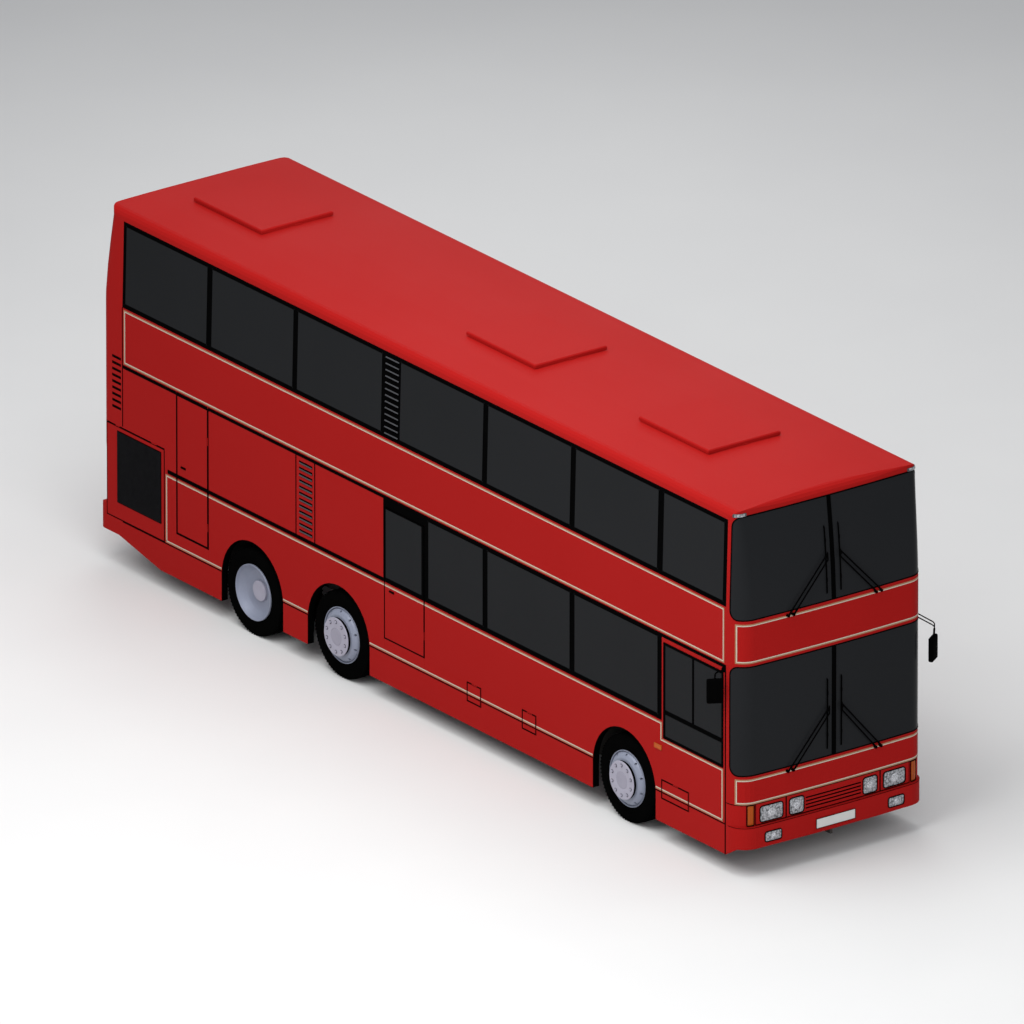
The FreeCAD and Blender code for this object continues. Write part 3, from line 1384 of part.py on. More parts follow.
def bar(start, end, width, depth):
    """Straight bar of rectangular section between two points."""
    a, b = V(*start), V(*end)
    run = b - a
    across = run.cross(V(1, 0, 0)) if abs(run.x) < 0.9 * run.Length else run.cross(V(0, 0, 1))
    across.normalize()
    other = run.cross(across)
    other.normalize()
    u, w = across * (width / 2), other * (depth / 2)
    corners = [a - u - w, a + u - w, a + u + w, a - u + w]
    ring = Part.makePolygon(corners + [corners[0]])
    return Part.Face(ring).extrude(run)


def wiper(side, sill, elbow, blade_low, blade_high):
    """Pantograph wiper: two arms from the sill to an upright blade."""
    def at(y, z, out=WIPER_PROUD):
        return (front_face_x(y, z) + out, side * y, z)

    outer, inner = WIPER_PIVOTS
    blade = WIPER_BLADE_Y
    arms = [
        bar(at(outer, sill), at(blade - 23, elbow), *WIPER_ARM),
        bar(at(inner, sill), at(blade - 23, elbow - 70), *WIPER_ARM),
        bar(
            at(blade, blade_low, WIPER_BLADE_PROUD), at(blade, blade_high, WIPER_BLADE_PROUD),
            WIPER_BLADE, WIPER_BLADE,
        ),
    ]
    mid = elbow - 35
    back = at(blade, mid, WIPER_BLADE_PROUD)[0]
    front = at(blade, mid)[0] + 6
    arms.append(box(back, front, side * (blade - 33), side * (blade + 13), mid - 60, mid + 60))
    for y in WIPER_PIVOTS:
        x = front_face_x(y, sill)
        arms.append(
            box(x - 30, x + WIPER_PROUD + 6, side * (y - 16), side * (y + 16), sill - 16, sill + 16)
        )
    return fuse(arms)


def wipers():
    """Four wipers, two on each windscreen."""
    skin = front_solid()
    solids = []
    for side in (-1, 1):
        solids.append(wiper(side, *LOWER_WIPER).cut(skin))
        solids.append(wiper(side, *UPPER_WIPER).cut(skin))
    return solids


def front_solid():
    """Solid just outside the front face, used to trim what is fixed to it."""
    clear = -SKIN_CLEARANCE
    lower = end_block(FRONT_LINE, FRONT_TIP, FRONT_CORNER, SKIRT_TOP, BAND_TOP, clear)
    return lower.fuse(end_loft(FRONT_LINE, FRONT_TIP, FRONT_CORNER, FRONT_LEAN, clear))


def mirror_head(centre, yaw):
    """Mirror housing turned by a yaw, with its forward edges chamfered."""
    depth, width, height = MIRROR_SIZE
    body = box(-depth / 2, depth / 2, -width / 2, width / 2, -height / 2, height / 2)
    edges = [e for e in body.Edges if e.BoundBox.XMin > depth / 2 - 1]
    body = body.makeChamfer(MIRROR_CHAMFER, edges)
    body.rotate(V(0, 0, 0), V(0, 0, 1), yaw)
    body.translate(V(*centre))
    return body


def mirror_arm(points, spread):
    """Arm of two thin tubes down to a bend and one tube from there to the head."""
    root, bend, head = (V(*point) for point in points)
    offset = V(0, 0, spread)
    size = (MIRROR_TUBE, MIRROR_TUBE)
    half = MIRROR_TUBE
    joint = box(
        bend.x - half, bend.x + half, bend.y - half, bend.y + half,
        bend.z - spread - half, bend.z + spread + half,
    )
    return [
        bar(root + offset, bend + offset, *size),
        bar(root - offset, bend - offset, *size),
        joint,
        bar(bend, head, 2 * MIRROR_TUBE, MIRROR_TUBE),
    ]


def mirrors():
    """Nearside mirror on a bent arm and offside mirror below a short bracket."""
    half = HALF + SKIN_CLEARANCE
    wall = box(REAR_LINE, FRONT_LINE, -half, half, SKIRT_TOP, UPPER_BAND_BOTTOM)
    skin = front_solid().fuse(wall)
    near = [mirror_head(NEAR_MIRROR, NEAR_MIRROR_YAW)] + mirror_arm(NEAR_ARM, 20.0)
    off = [mirror_head(OFF_MIRROR, OFF_MIRROR_YAW)] + mirror_arm(OFF_ARM, 0.0)
    return [fuse(near).cut(skin), fuse(off).cut(skin)]


def amber_lamps():
    """Front indicators and the side repeaters."""
    lamps = lenses([AMBER], SKIRT_TOP, SCREEN_LOWER_BOTTOM, LENS_PROUD)
    for side in (-1, 1):
        lamps.append(side_plate(rectangle(*REPEATER), side, REPEATER_PROUD, REPEATER_PROUD))
    return lamps


def tanks():
    """Fuel tank hung on the nearside rail between the axles."""
    start, end, outer, low, high = TANK
    return box(start, end, RAIL_OUTER, outer, low, high)


def engine():
    """Engine and gearbox as one plain block between the rails."""
    start, end, low, high = ENGINE_BLOCK
    return box(start, end, -RAIL_INNER, RAIL_INNER, low, high)


def build():
    """Write every node."""
    save("skirt_panels", skirt_panels())
    save("side_panels", [lower_side(-1), lower_side(1)])
    save("lower_window_band", [lower_band(-1), lower_band(1)])
    save("deck_panels", [deck_panel(-1), deck_panel(1)])
    save("upper_window_band", [upper_band(-1), upper_band(1)])
    save("roof", roof())
    save("front_panel", front_panel())
    save("front_band", front_shell(BAND_BOTTOM, BAND_TOP, WALL))
    save("windscreens", windscreens())
    save("windscreen_posts", windscreen_posts())
    save("bumpers", [front_bumper(), rear_bumper()])
    save("rear_moulding", rear_moulding())
    save("rear_quarters", rear_quarters())
    save("rear_glass", rear_glass())
    save("window_glass", window_glass())
    head = lenses(HEAD_LAMPS, SKIRT_TOP, SCREEN_LOWER_BOTTOM, LENS_PROUD)
    save("headlamps", head + fog_lenses())
    save("amber_lamps", amber_lamps())
    save("rear_lamps", rear_lamps())
    save("mirrors", mirrors())
    save("wipers", wipers())
    save("lower_floor", lower_floor())
    save("upper_floor", upper_floor())
    save("wheelhouses", wheelhouses())
    save("stairs", [staircase(), entrance_steps()])
    save("bulkheads", bulkheads())
    save("seats", seats())
    save("cab_fittings", cab_fittings())
    save("chassis_frame", chassis_frame())
    save("cross_members", cross_members())
    save("axle_beams", axle_beams())
    save("engine", engine())
    save("tanks", tanks())
    save("knuckle_left", knuckle(1))
    save("knuckle_right", knuckle(-1))
    wheels()
    save("passenger_door", passenger_door())
    save("passenger_door_glass", side_plate(door_glass_outline(), 1, depth=GLASS))
    save("emergency_door", emergency_door())
    save("emergency_door_glass", side_plate(rectangle(*EMERGENCY_GLASS), -1, depth=GLASS))
    save("service_door", service_door())
    save("engine_flap_left", engine_flap(1))
    save("engine_flap_right", engine_flap(-1))
    save("engine_door", engine_door())
    for name, x in HATCHES:
        save("hatch_" + name, hatch(x))
    for name, x0, x1 in FILLERS:
        flap = top_hung_flap(
            x0, x1, FILLER_BOTTOM, FILLER_TOP, -1, FILLER_THICKNESS, ((x0 + x1) / 2,)
        )
        save(name + "_flap", flap)


build()
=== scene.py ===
"""Looks of a three-axle double-deck coach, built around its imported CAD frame.

Everything is in metres in the frame's own axes: +X forward, +Y nearside, +Z up.
"""
from __future__ import annotations

import json
import logging
import math
from dataclasses import dataclass
from enum import Enum
from itertools import product
from typing import Callable, Iterable, Sequence

import bmesh
import bpy
from mathutils import Matrix, Vector

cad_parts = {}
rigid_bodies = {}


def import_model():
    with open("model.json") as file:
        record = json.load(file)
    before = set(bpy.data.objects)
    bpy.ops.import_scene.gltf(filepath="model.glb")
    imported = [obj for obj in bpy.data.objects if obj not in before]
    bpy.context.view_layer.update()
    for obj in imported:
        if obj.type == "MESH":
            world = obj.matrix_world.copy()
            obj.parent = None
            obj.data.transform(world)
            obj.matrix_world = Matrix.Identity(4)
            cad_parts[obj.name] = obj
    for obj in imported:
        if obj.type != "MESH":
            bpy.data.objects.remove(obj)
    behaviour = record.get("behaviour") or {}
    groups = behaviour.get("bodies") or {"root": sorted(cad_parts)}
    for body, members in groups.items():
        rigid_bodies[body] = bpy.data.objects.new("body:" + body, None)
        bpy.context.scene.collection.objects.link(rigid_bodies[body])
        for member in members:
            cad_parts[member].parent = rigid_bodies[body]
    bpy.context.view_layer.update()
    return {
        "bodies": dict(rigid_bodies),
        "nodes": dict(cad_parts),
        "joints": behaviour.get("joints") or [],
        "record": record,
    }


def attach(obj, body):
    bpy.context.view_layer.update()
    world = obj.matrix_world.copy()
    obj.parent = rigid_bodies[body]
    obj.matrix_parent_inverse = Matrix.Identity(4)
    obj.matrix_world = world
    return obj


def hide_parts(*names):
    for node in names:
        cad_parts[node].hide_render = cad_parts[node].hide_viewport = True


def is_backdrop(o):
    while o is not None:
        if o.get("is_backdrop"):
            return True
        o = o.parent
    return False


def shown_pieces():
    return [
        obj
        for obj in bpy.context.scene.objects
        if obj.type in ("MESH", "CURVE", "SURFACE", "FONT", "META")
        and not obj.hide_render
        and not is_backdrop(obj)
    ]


LOG = logging.getLogger("coach")
BODY = "coach_body"
SIDES = (1, -1)
SIDE_WORDS = {1: "left", -1: "right"}

# Sizes that more than one assembly uses

AXLES = {"front": 3.73, "middle": -1.415, "rear": -2.985}
ARCH_REACH = 0.563
ROOF_TOP = 4.2
PANEL_GAP = 0.006
PAINT_DEPTH = -0.0004
NUTS = 10

# Accuracy and shading

NO_LENGTH = 1e-6
MERGE_LENGTH = 1e-5
FLAT_DEGREES = 0.6
SMOOTH_DEGREES = 32.0
LENS_DEGREES = 80.0
ONE_STEP = 9.0
FRONT_STEP = 0.04
LARGEST_CUT = 0.45
ROUND_STEPS = 96
RIM_STEPS = 120
COAT_ROUGHNESS = 0.06
BUMP_STRENGTH = 0.6
BOX_FACES = ((0, 1, 3, 2), (4, 6, 7, 5), (0, 4, 5, 1), (2, 3, 7, 6), (0, 2, 6, 4), (1, 5, 7, 3))

Surface = Callable[[float, float, float], Vector]
Pair = tuple[float, float]
Colour = tuple[float, float, float]
Shape = tuple[list, list]


# Finishes


class Grain(Enum):
    """Texture that gives a finish its pattern."""

    CLOUDS = "clouds"
    FLUTES = "flutes"
    CELLS = "cells"
    WEAVE = "weave"


@dataclass(frozen=True)
class Finish:
    """One surface finish, read from Object coordinates, and the record's slot for it."""

    name: str
    slot: str | None
    colour: Colour
    shade: Colour
    grain: Grain = Grain.CLOUDS
    scale: float = 4.0
    fine: float = 200.0
    bump: float = 0.0004
    roughness: float = 0.4
    spread: float = 0.08
    metallic: float = 0.0
    coat: float = 0.0
    specular: float = 0.5

    def material(self) -> bpy.types.Material:
        """Build the material once and return it.

        Returns:
            The Blender material of this finish.
        """
        found = bpy.data.materials.get(self.name)
        if found is not None:
            return found
        made = bpy.data.materials.new(self.name)
        made.use_nodes = True
        nodes, links = made.node_tree.nodes, made.node_tree.links
        shader = nodes["Principled BSDF"]
        shader.inputs["Metallic"].default_value = self.metallic
        shader.inputs["Coat Weight"].default_value = self.coat
        shader.inputs["Coat Roughness"].default_value = COAT_ROUGHNESS
        shader.inputs["Specular IOR Level"].default_value = self.specular
        coordinates = nodes.new("ShaderNodeTexCoord")
        broad = self._texture(nodes, self.grain, self.scale)
        detail = self._texture(nodes, Grain.CLOUDS, self.fine)
        for texture in (broad, detail):
            links.new(coordinates.outputs["Object"], texture.inputs["Vector"])
        value = broad.outputs["Distance" if self.grain is Grain.CELLS else "Fac"]
        blend = nodes.new("ShaderNodeMix")
        blend.data_type = "RGBA"
        blend.inputs["A"].default_value = (*self.colour, 1.0)
        blend.inputs["B"].default_value = (*self.shade, 1.0)
        links.new(value, blend.inputs["Factor"])
        links.new(blend.outputs["Result"], shader.inputs["Base Color"])
        spread = nodes.new("ShaderNodeMapRange")
        spread.inputs["To Min"].default_value = max(0.02, self.roughness - self.spread)
        spread.inputs["To Max"].default_value = min(1.0, self.roughness + self.spread)
        links.new(value, spread.inputs["Value"])
        links.new(spread.outputs["Result"], shader.inputs["Roughness"])
        height = nodes.new("ShaderNodeMath")
        height.operation = "ADD"
        links.new(detail.outputs["Fac"], height.inputs[0])
        if self.grain is Grain.CLOUDS:
            height.inputs[1].default_value = 0.0
        else:
            links.new(value, height.inputs[1])
        relief = nodes.new("ShaderNodeBump")
        relief.inputs["Strength"].default_value = BUMP_STRENGTH
        relief.inputs["Distance"].default_value = self.bump
        links.new(height.outputs["Value"], relief.inputs["Height"])
        links.new(relief.outputs["Normal"], shader.inputs["Normal"])
        return made

    @staticmethod
    def _texture(nodes: bpy.types.Nodes, grain: Grain, scale: float) -> bpy.types.Node:
        """Add the texture node of a grain.

        Args:
            nodes: The material's nodes.
            grain: Which texture.
            scale: Features per metre.

        Returns:
            The new node.
        """
        kinds = {
            Grain.CLOUDS: "ShaderNodeTexNoise",
            Grain.FLUTES: "ShaderNodeTexWave",
            Grain.CELLS: "ShaderNodeTexVoronoi",
            Grain.WEAVE: "ShaderNodeTexBrick",
        }
        node = nodes.new(kinds[grain])
        node.inputs["Scale"].default_value = scale
        if grain is Grain.FLUTES:
            node.bands_direction = "Y"
            node.inputs["Distortion"].default_value = 0.4
        return node


RED = Finish(
    "coach_red", "red_paint", (0.33, 0.0092, 0.0084), (0.312, 0.0083, 0.0075), scale=0.7,
    fine=260.0, bump=0.00012, roughness=0.5, spread=0.05, specular=0.02,
)
BLACK = Finish(
    "black_trim_rubber", "black_trim", (0.0008, 0.0008, 0.0009), (0.0014, 0.0014, 0.0014),
    scale=14.0, fine=420.0, bump=0.0002, roughness=0.7, specular=0.004,
)
GLASS = Finish(
    "tinted_glass", "dark_glass", (0.0125, 0.0132, 0.0145), (0.0105, 0.0112, 0.0122), scale=0.9,
    fine=3.0, bump=0.0008, roughness=0.16, spread=0.04, specular=0.03,
)
# Windscreen glass: the dark glass painted lighter, for the brighter reflection on the front panes:
# painted light.
LIT_SCREEN = Finish(
    "windscreen_tint", "dark_glass", (0.0155, 0.0163, 0.0178), (0.0138, 0.0146, 0.016), scale=0.9,
    fine=3.0, bump=0.0008, roughness=0.16, spread=0.04, specular=0.03,
)
GOLD = Finish(
    "lining_gold", "red_paint", (0.31, 0.15, 0.07), (0.28, 0.13, 0.06), scale=9.0, fine=300.0,
    bump=0.0001,
)
CREAM = Finish(
    "lining_cream", "red_paint", (0.5, 0.44, 0.36), (0.46, 0.4, 0.32), scale=9.0, fine=300.0,
    bump=0.0001,
)
TYRE = Finish(
    "black_tyre_rubber", "tyre_rubber", (0.0009, 0.0009, 0.001), (0.0018, 0.0018, 0.0017),
    scale=11.0, fine=520.0, bump=0.0006, roughness=0.9, specular=0.003,
)
SILVER = Finish(
    "rim_silver", "wheel_silver", (0.25, 0.27, 0.34), (0.21, 0.23, 0.3), scale=7.0, fine=380.0,
    bump=0.0002, roughness=0.45, metallic=0.1, specular=0.3,
)
HUB_GREY = Finish(
    "hub_grey", "wheel_silver", (0.37, 0.36, 0.43), (0.32, 0.31, 0.38), scale=9.0, fine=420.0,
    bump=0.0002, roughness=0.5, metallic=0.1, specular=0.3,
)
HUB_END = Finish(
    "hub_end_grey", "wheel_silver", (0.31, 0.3, 0.365), (0.27, 0.262, 0.32), scale=9.0, fine=420.0,
    bump=0.0002, roughness=0.5, metallic=0.1, specular=0.3,
)
CHROME = Finish(
    "bright_metal", "wheel_silver", (0.62, 0.63, 0.65), (0.5, 0.51, 0.54), scale=5.0, fine=240.0,
    bump=0.0001, roughness=0.16, metallic=1.0,
)
# Clear lens: the cells stand for its real facets, and their bright centres against near-black
# borders are painted glints.
LENS = Finish(
    "faceted_lens", "clear_lens", (0.5, 0.51, 0.54), (0.03, 0.031, 0.034), grain=Grain.CELLS,
    scale=46.0, bump=0.0012, roughness=0.2, specular=0.3,
)
# Reflector bowls: near-white, not metallic, with darker cell borders. The brightness is a painted
# reflection of the chrome.
REFLECTOR = Finish(
    "lamp_reflector", "clear_lens", (0.72, 0.73, 0.77), (0.16, 0.165, 0.18), grain=Grain.CELLS,
    scale=70.0, bump=0.0008, roughness=0.25, specular=0.3,
)
AMBER = Finish(
    "fluted_amber", "amber_lens", (0.42, 0.078, 0.004), (0.24, 0.038, 0.003), grain=Grain.FLUTES,
    scale=22.0, bump=0.001, roughness=0.3, specular=0.15,
)
RED_LENS = Finish(
    "fluted_red", "red_lens", (0.5, 0.012, 0.01), (0.3, 0.006, 0.005), grain=Grain.FLUTES,
    scale=22.0, bump=0.001, roughness=0.18, coat=0.6,
)
GRILLE = Finish(
    "grille_mesh_black", "black_trim", (0.0085, 0.0086, 0.0098), (0.005, 0.005, 0.0058), scale=18.0,
    fine=360.0, bump=0.0002, roughness=0.5, specular=0.05,
)
SLAT = Finish(
    "louvre_grey", "black_trim", (0.052, 0.053, 0.058), (0.032, 0.033, 0.036), scale=18.0,
    fine=360.0, bump=0.0002, roughness=0.42,
)
CHASSIS = Finish(
    "chassis_black", None, (0.012, 0.012, 0.012), (0.03, 0.026, 0.022), scale=6.0, fine=180.0,
    bump=0.0008, roughness=0.7,
)
FLOORING = Finish(
    "ribbed_flooring", None, (0.075, 0.076, 0.08), (0.05, 0.05, 0.054), grain=Grain.FLUTES,
    scale=28.0, bump=0.001, roughness=0.65,
)
LINER = Finish(
    "inner_panel_grey", None, (0.36, 0.35, 0.33), (0.3, 0.29, 0.27), scale=5.0, fine=300.0,
    roughness=0.6,
)
FABRIC = Finish(
    "seat_moquette", "seat_fabric", (0.13, 0.03, 0.034), (0.05, 0.035, 0.06), grain=Grain.WEAVE,
    scale=60.0, bump=0.0012, roughness=0.92,
)
MIRROR = Finish(
    "mirror_glass", None, (0.62, 0.65, 0.68), (0.58, 0.61, 0.64), scale=1.2, fine=6.0, bump=0.0,
    roughness=0.05, spread=0.02, metallic=1.0,
)
PLATE = Finish(
    "bare_plate", None, (0.62, 0.62, 0.6), (0.54, 0.54, 0.52), scale=12.0, fine=420.0, bump=0.0001,
    roughness=0.35,
)
PALE_FLOOR = Finish(
    "studio_floor", None, (0.72, 0.72, 0.71), (0.68, 0.68, 0.675), scale=0.5, fine=30.0,
    roughness=0.85,
)


# Surfaces


@dataclass(frozen=True)
class EndSkin:
    """Outer surface of one end of the body: bowed face, round corners and flanks."""

    base: float
    tip: float
    corner: float
    leans: tuple[Pair, ...]
    half: float = 1.25
    tumblehome: float = 0.025
    bow: float = 26.0
    lean_from: float = 3.061
    lean_to: float = 4.055

    def half_at(self, z: float) -> float:
        """Half width of the body at a height."""
        share = min(max(z - self.lean_from, 0.0) / (self.lean_to - self.lean_from), 1.0)
        return self.half - self.tumblehome * share

    def _plan(self, z: float) -> tuple[float, float, float, float, float]:
        """Sizes of the plan outline at a height.

        Args:
            z: Height above the ground.

        Returns:
            Half width, depth, corner radius, corner centre and angle where bow meets corner.
        """
        back = 0.0
        for (low, near), (high, far) in zip(self.leans, self.leans[1:]):
            if low <= z <= high:
                back = near + (far - near) * (z - low) / (high - low)
            elif z > high:
                back = far
        half = self.half_at(z)
        depth = abs(self.tip - self.base) - back
        corner = min(self.corner, depth - half * half / (2 * self.bow))
        reach = math.sqrt((self.bow - corner) ** 2 - (half - corner) ** 2)
        return half, depth, corner, depth - self.bow + reach, math.atan2(half - corner, reach)

    def edge(self, z: float) -> float:
        """Length along the surface from the middle to where the flat side starts."""
        _, _, corner, centre, turn = self._plan(z)
        return self.bow * turn + corner * (math.pi / 2 - turn) + centre

    def along(self, y: float, z: float) -> float:
        """Length along the surface from the middle to a place across the vehicle.

        Args:
            y: Distance from the middle, across the vehicle.
            z: Height.

        Returns:
            The length, with the sign of y.
        """
        half, _, corner, _, turn = self._plan(z)
        if abs(y) <= self.bow * math.sin(turn):
            return math.copysign(self.bow * math.asin(abs(y) / self.bow), y)
        angle = math.asin(min(1.0, (abs(y) - half + corner) / corner))
        return math.copysign(self.bow * turn + corner * (angle - turn), y)

    def at(self, s: float, z: float, proud: float) -> Vector:
        """Point on the surface.

        Args:
            s: Signed length along the surface from the middle, positive to the nearside.
            z: Height.
            proud: Distance outwards.

        Returns:
            The point.
        """
        half, depth, corner, centre, turn = self._plan(z)
        way = math.copysign(1.0, self.tip - self.base)
        side = math.copysign(1.0, s)
        run = abs(s)
        on_bow, on_corner = self.bow * turn, corner * (math.pi / 2 - turn)
        if run <= on_bow:
            angle = run / self.bow
            near = (depth - self.bow + self.bow * math.cos(angle), self.bow * math.sin(angle))
            normal = (math.cos(angle), math.sin(angle))
        elif run <= on_bow + on_corner:
            angle = turn + (run - on_bow) / corner
            normal = (math.cos(angle), math.sin(angle))
            near = (centre + corner * normal[0], half - corner + corner * normal[1])
        else:
            near = (centre - (run - on_bow - on_corner), half)
            normal = (0.0, 1.0)
        x = self.base + way * (near[0] + proud * normal[0])
        return Vector((x, side * (near[1] + proud * normal[1]), z))


FRONT = EndSkin(
    5.54, 5.79, 0.219,
    ((2.925, 0.0), (2.93, 0.005), (3.2997, 0.024), (3.6496, 0.056), (4.1, 0.112)),
)
REAR = EndSkin(
    -5.352, -5.78, 0.15,
    ((0.7, 0.048), (1.4015, 0.0), (3.15, 0.0), (3.4487, 0.026), (3.7473, 0.068), (4.055, 0.118)),
)


def side_surface(side: int) -> Surface:
    """Surface of a flat side, addressed by length and height.

    Args:
        side: 1 for the nearside, -1 for the offside.

    Returns:
        The mapping from (x, z, proud) to a point.
    """
    return lambda x, z, proud: Vector((x, side * (FRONT.half_at(z) + proud), z))


# Mesh making


def linked(name: str, data: bpy.types.ID) -> bpy.types.Object:
    """New object in the scene that holds a mesh, a camera or a lamp.

    Args:
        name: Its name.
        data: What it holds.

    Returns:
        The object.
    """
    obj = bpy.data.objects.new(name, data)
    bpy.context.scene.collection.objects.link(obj)
    return obj


def from_bmesh(name: str, made: bmesh.types.BMesh) -> bpy.types.Object:
    """New object from mesh data that is used up.

    Args:
        name: Its name.
        made: Mesh data, freed here.

    Returns:
        The object.
    """
    mesh = bpy.data.meshes.new(name)
    made.to_mesh(mesh)
    made.free()
    return linked(name, mesh)


def discard(obj: bpy.types.Object) -> None:
    """Remove an object and its mesh.

    Args:
        obj: Mesh object that nothing needs any more.
    """
    mesh = obj.data
    bpy.data.objects.remove(obj)
    bpy.data.meshes.remove(mesh)


def bake_modifiers(obj: bpy.types.Object) -> bpy.types.Object:
    """Give an object the plain mesh that its modifiers make, and remove them.

    Args:
        obj: Object with modifiers.

    Returns:
        The same object.
    """
    graph = bpy.context.evaluated_depsgraph_get()
    mesh = bpy.data.meshes.new_from_object(obj.evaluated_get(graph))
    obj.modifiers.clear()
    old = obj.data
    obj.data = mesh
    bpy.data.meshes.remove(old)
    return obj


def new_object(
    name: str, verts: Sequence[Sequence[float]], faces: Sequence[Sequence[int]]
) -> bpy.types.Object:
    """Object from raw mesh data, with its normals facing outwards.

    Args:
        name: Piece name.
        verts: Points.
        faces: Corner indices of each face.

    Returns:
        The object, linked to the scene.
    """
    mesh = bpy.data.meshes.new(name)
    mesh.from_pydata([tuple(v) for v in verts], [], [tuple(f) for f in faces])
    made = bmesh.new()
    made.from_mesh(mesh)
    bmesh.ops.remove_doubles(made, verts=made.verts, dist=NO_LENGTH)
    bmesh.ops.recalc_face_normals(made, faces=made.faces)
    made.to_mesh(mesh)
    made.free()
    return linked(name, mesh)


def smooth(obj: bpy.types.Object, degrees: float = SMOOTH_DEGREES) -> bpy.types.Object:
    """Shade an object smooth, except over edges sharper than an angle.

    Args:
        obj: Mesh object.
        degrees: The angle.

    Returns:
        The same object.
    """
    mesh = obj.data
    mesh.shade_smooth()
    mesh.set_sharp_from_angle(angle=math.radians(degrees))
    return obj


def even_normals(obj: bpy.types.Object) -> bpy.types.Object:
    """Weight the normals by face area, so that flat panels stay flat beside their bends."""
    obj.modifiers.new("weight", "WEIGHTED_NORMAL").keep_sharp = True
    return bake_modifiers(obj)


def join(name: str, objects: Sequence[bpy.types.Object]) -> bpy.types.Object:
    """Join objects into one mesh with a material slot for each finish.

    Args:
        name: Name of the result.
        objects: Objects at the origin, which are used up.

    Returns:
        The joined object.
    """
    joined = bmesh.new()
    materials: list[bpy.types.Material] = []
    for obj in objects:
        start = len(joined.faces)
        joined.from_mesh(obj.data)
        joined.faces.ensure_lookup_table()
        own = [slot.material for slot in obj.material_slots]
        for material in own:
            if material not in materials:
                materials.append(material)
        for face in joined.faces[start:]:
            face.material_index = materials.index(own[face.material_index])
        discard(obj)
    result = from_bmesh(name, joined)
    for material in materials:
        result.data.materials.append(material)
    return result


def dress(obj: bpy.types.Object, finish: Finish) -> bpy.types.Object:
    """Give an object one finish.

    Args:
        obj: Mesh object.
        finish: Its finish.

    Returns:
        The same object.
    """
    obj.data.materials.clear()
    obj.data.materials.append(finish.material())
    return obj


def slab(surface: Surface, a: Pair, b: Pair, proud: Pair, step: float = ONE_STEP) -> Shape:
    """Closed plate that follows a surface.

    Args:
        surface: Mapping from (a, b, proud) to a point.
        a: Limits along the surface.
        b: Limits in height.
        proud: Inner and outer distance from the surface.
        step: Longest run between points.

    Returns:
        Points and faces.
    """
    counts = [max(1, math.ceil(abs(high - low) / step)) for low, high in (a, b)]
    verts = []
    for level in proud:
        for i in range(counts[0] + 1):
            for j in range(counts[1] + 1):
                u = a[0] + (a[1] - a[0]) * i / counts[0]
                w = b[0] + (b[1] - b[0]) * j / counts[1]
                verts.append(surface(u, w, level))
    return verts, sheet_faces(counts[0] + 1, counts[1] + 1)


def sheet_faces(rows: int, columns: int) -> list[tuple[int, ...]]:
    """Faces of two stacked grids of points whose borders are stitched together.

    Args:
        rows: Points along the first direction.
        columns: Points along the second direction.

    Returns:
        The faces.
    """
    faces = []
    offset = rows * columns
    for i in range(rows - 1):
        for j in range(columns - 1):
            k = i * columns + j
            quad = (k, k + 1, k + columns + 1, k + columns)
            faces.append(quad)
            faces.append(tuple(offset + v for v in reversed(quad)))
    border = [(i * columns, (i + 1) * columns) for i in range(rows - 1)]
    border += [(i * columns + columns - 1, (i + 1) * columns + columns - 1) for i in range(rows - 1)]
    border += [(j, j + 1) for j in range(columns - 1)]
    last = (rows - 1) * columns
    border += [(last + j, last + j + 1) for j in range(columns - 1)]
    faces += [(p, q, q + offset, p + offset) for p, q in border]
    return faces


def loop(a: Pair, b: Pair, radius: float, step: float = 0.05) -> list[Pair]:
    """Rounded rectangle as points, in the same order for every size.

    Args:
        a: Limits along.
        b: Limits in height.
        radius: Corner radius.
        step: Longest run on the straight sides.

    Returns:
        Points of the closed outline.
    """
    bends = 6
    counts = (max(1, round((a[1] - a[0]) / step)), max(1, round((b[1] - b[0]) / step)))
    corners = [
        (a[1] - radius, b[0] + radius, -90.0, counts[1]),
        (a[1] - radius, b[1] - radius, 0.0, counts[0]),
        (a[0] + radius, b[1] - radius, 90.0, counts[1]),
        (a[0] + radius, b[0] + radius, 180.0, counts[0]),
    ]
    points: list[Pair] = []
    for index, (ca, cb, start, count) in enumerate(corners):
        for turn in range(bends + 1):
            angle = math.radians(start + 90.0 * turn / bends)
            points.append((ca + radius * math.cos(angle), cb + radius * math.sin(angle)))
        na, nb, after, _ = corners[(index + 1) % 4]
        angle = math.radians(after)
        goal = (na + radius * math.cos(angle), nb + radius * math.sin(angle))
        here = points[-1]
        for run in range(1, count):
            share = run / count
            points.append(
                (here[0] + (goal[0] - here[0]) * share, here[1] + (goal[1] - here[1]) * share)
            )
    return points


def ring(
    surface: Surface, a: Pair, b: Pair, radius: float, width: float, proud: Pair, step: float = 0.05
) -> Shape:
    """Closed frame that follows a surface, with its section a flat bar.

    Args:
        surface: Mapping from (a, b, proud) to a point.
        a: Outer limits along the surface.
        b: Outer limits in height.
        radius: Outer corner radius.
        width: Width of the bar, inwards.
        proud: Inner and outer distance from the surface.
        step: Longest run on the straight sides.

    Returns:
        Points and faces.
    """
    outer = loop(a, b, radius, step)
    inner = loop(
        (a[0] + width, a[1] - width), (b[0] + width, b[1] - width), max(radius - width, 0.002), step
    )
    if len(inner) != len(outer):
        inner = [inner[round(i * (len(inner) - 1) / (len(outer) - 1))] for i in range(len(outer))]
    count = len(outer)
    verts = [surface(*p, level) for points in (outer, inner) for level in proud for p in points]
    faces = []
    order = (0, 1, 3, 2)
    for near, far in zip(order, order[1:] + order[:1]):
        for i in range(count):
            j = (i + 1) % count
            faces.append((near * count + i, near * count + j, far * count + j, far * count + i))
    return verts, faces


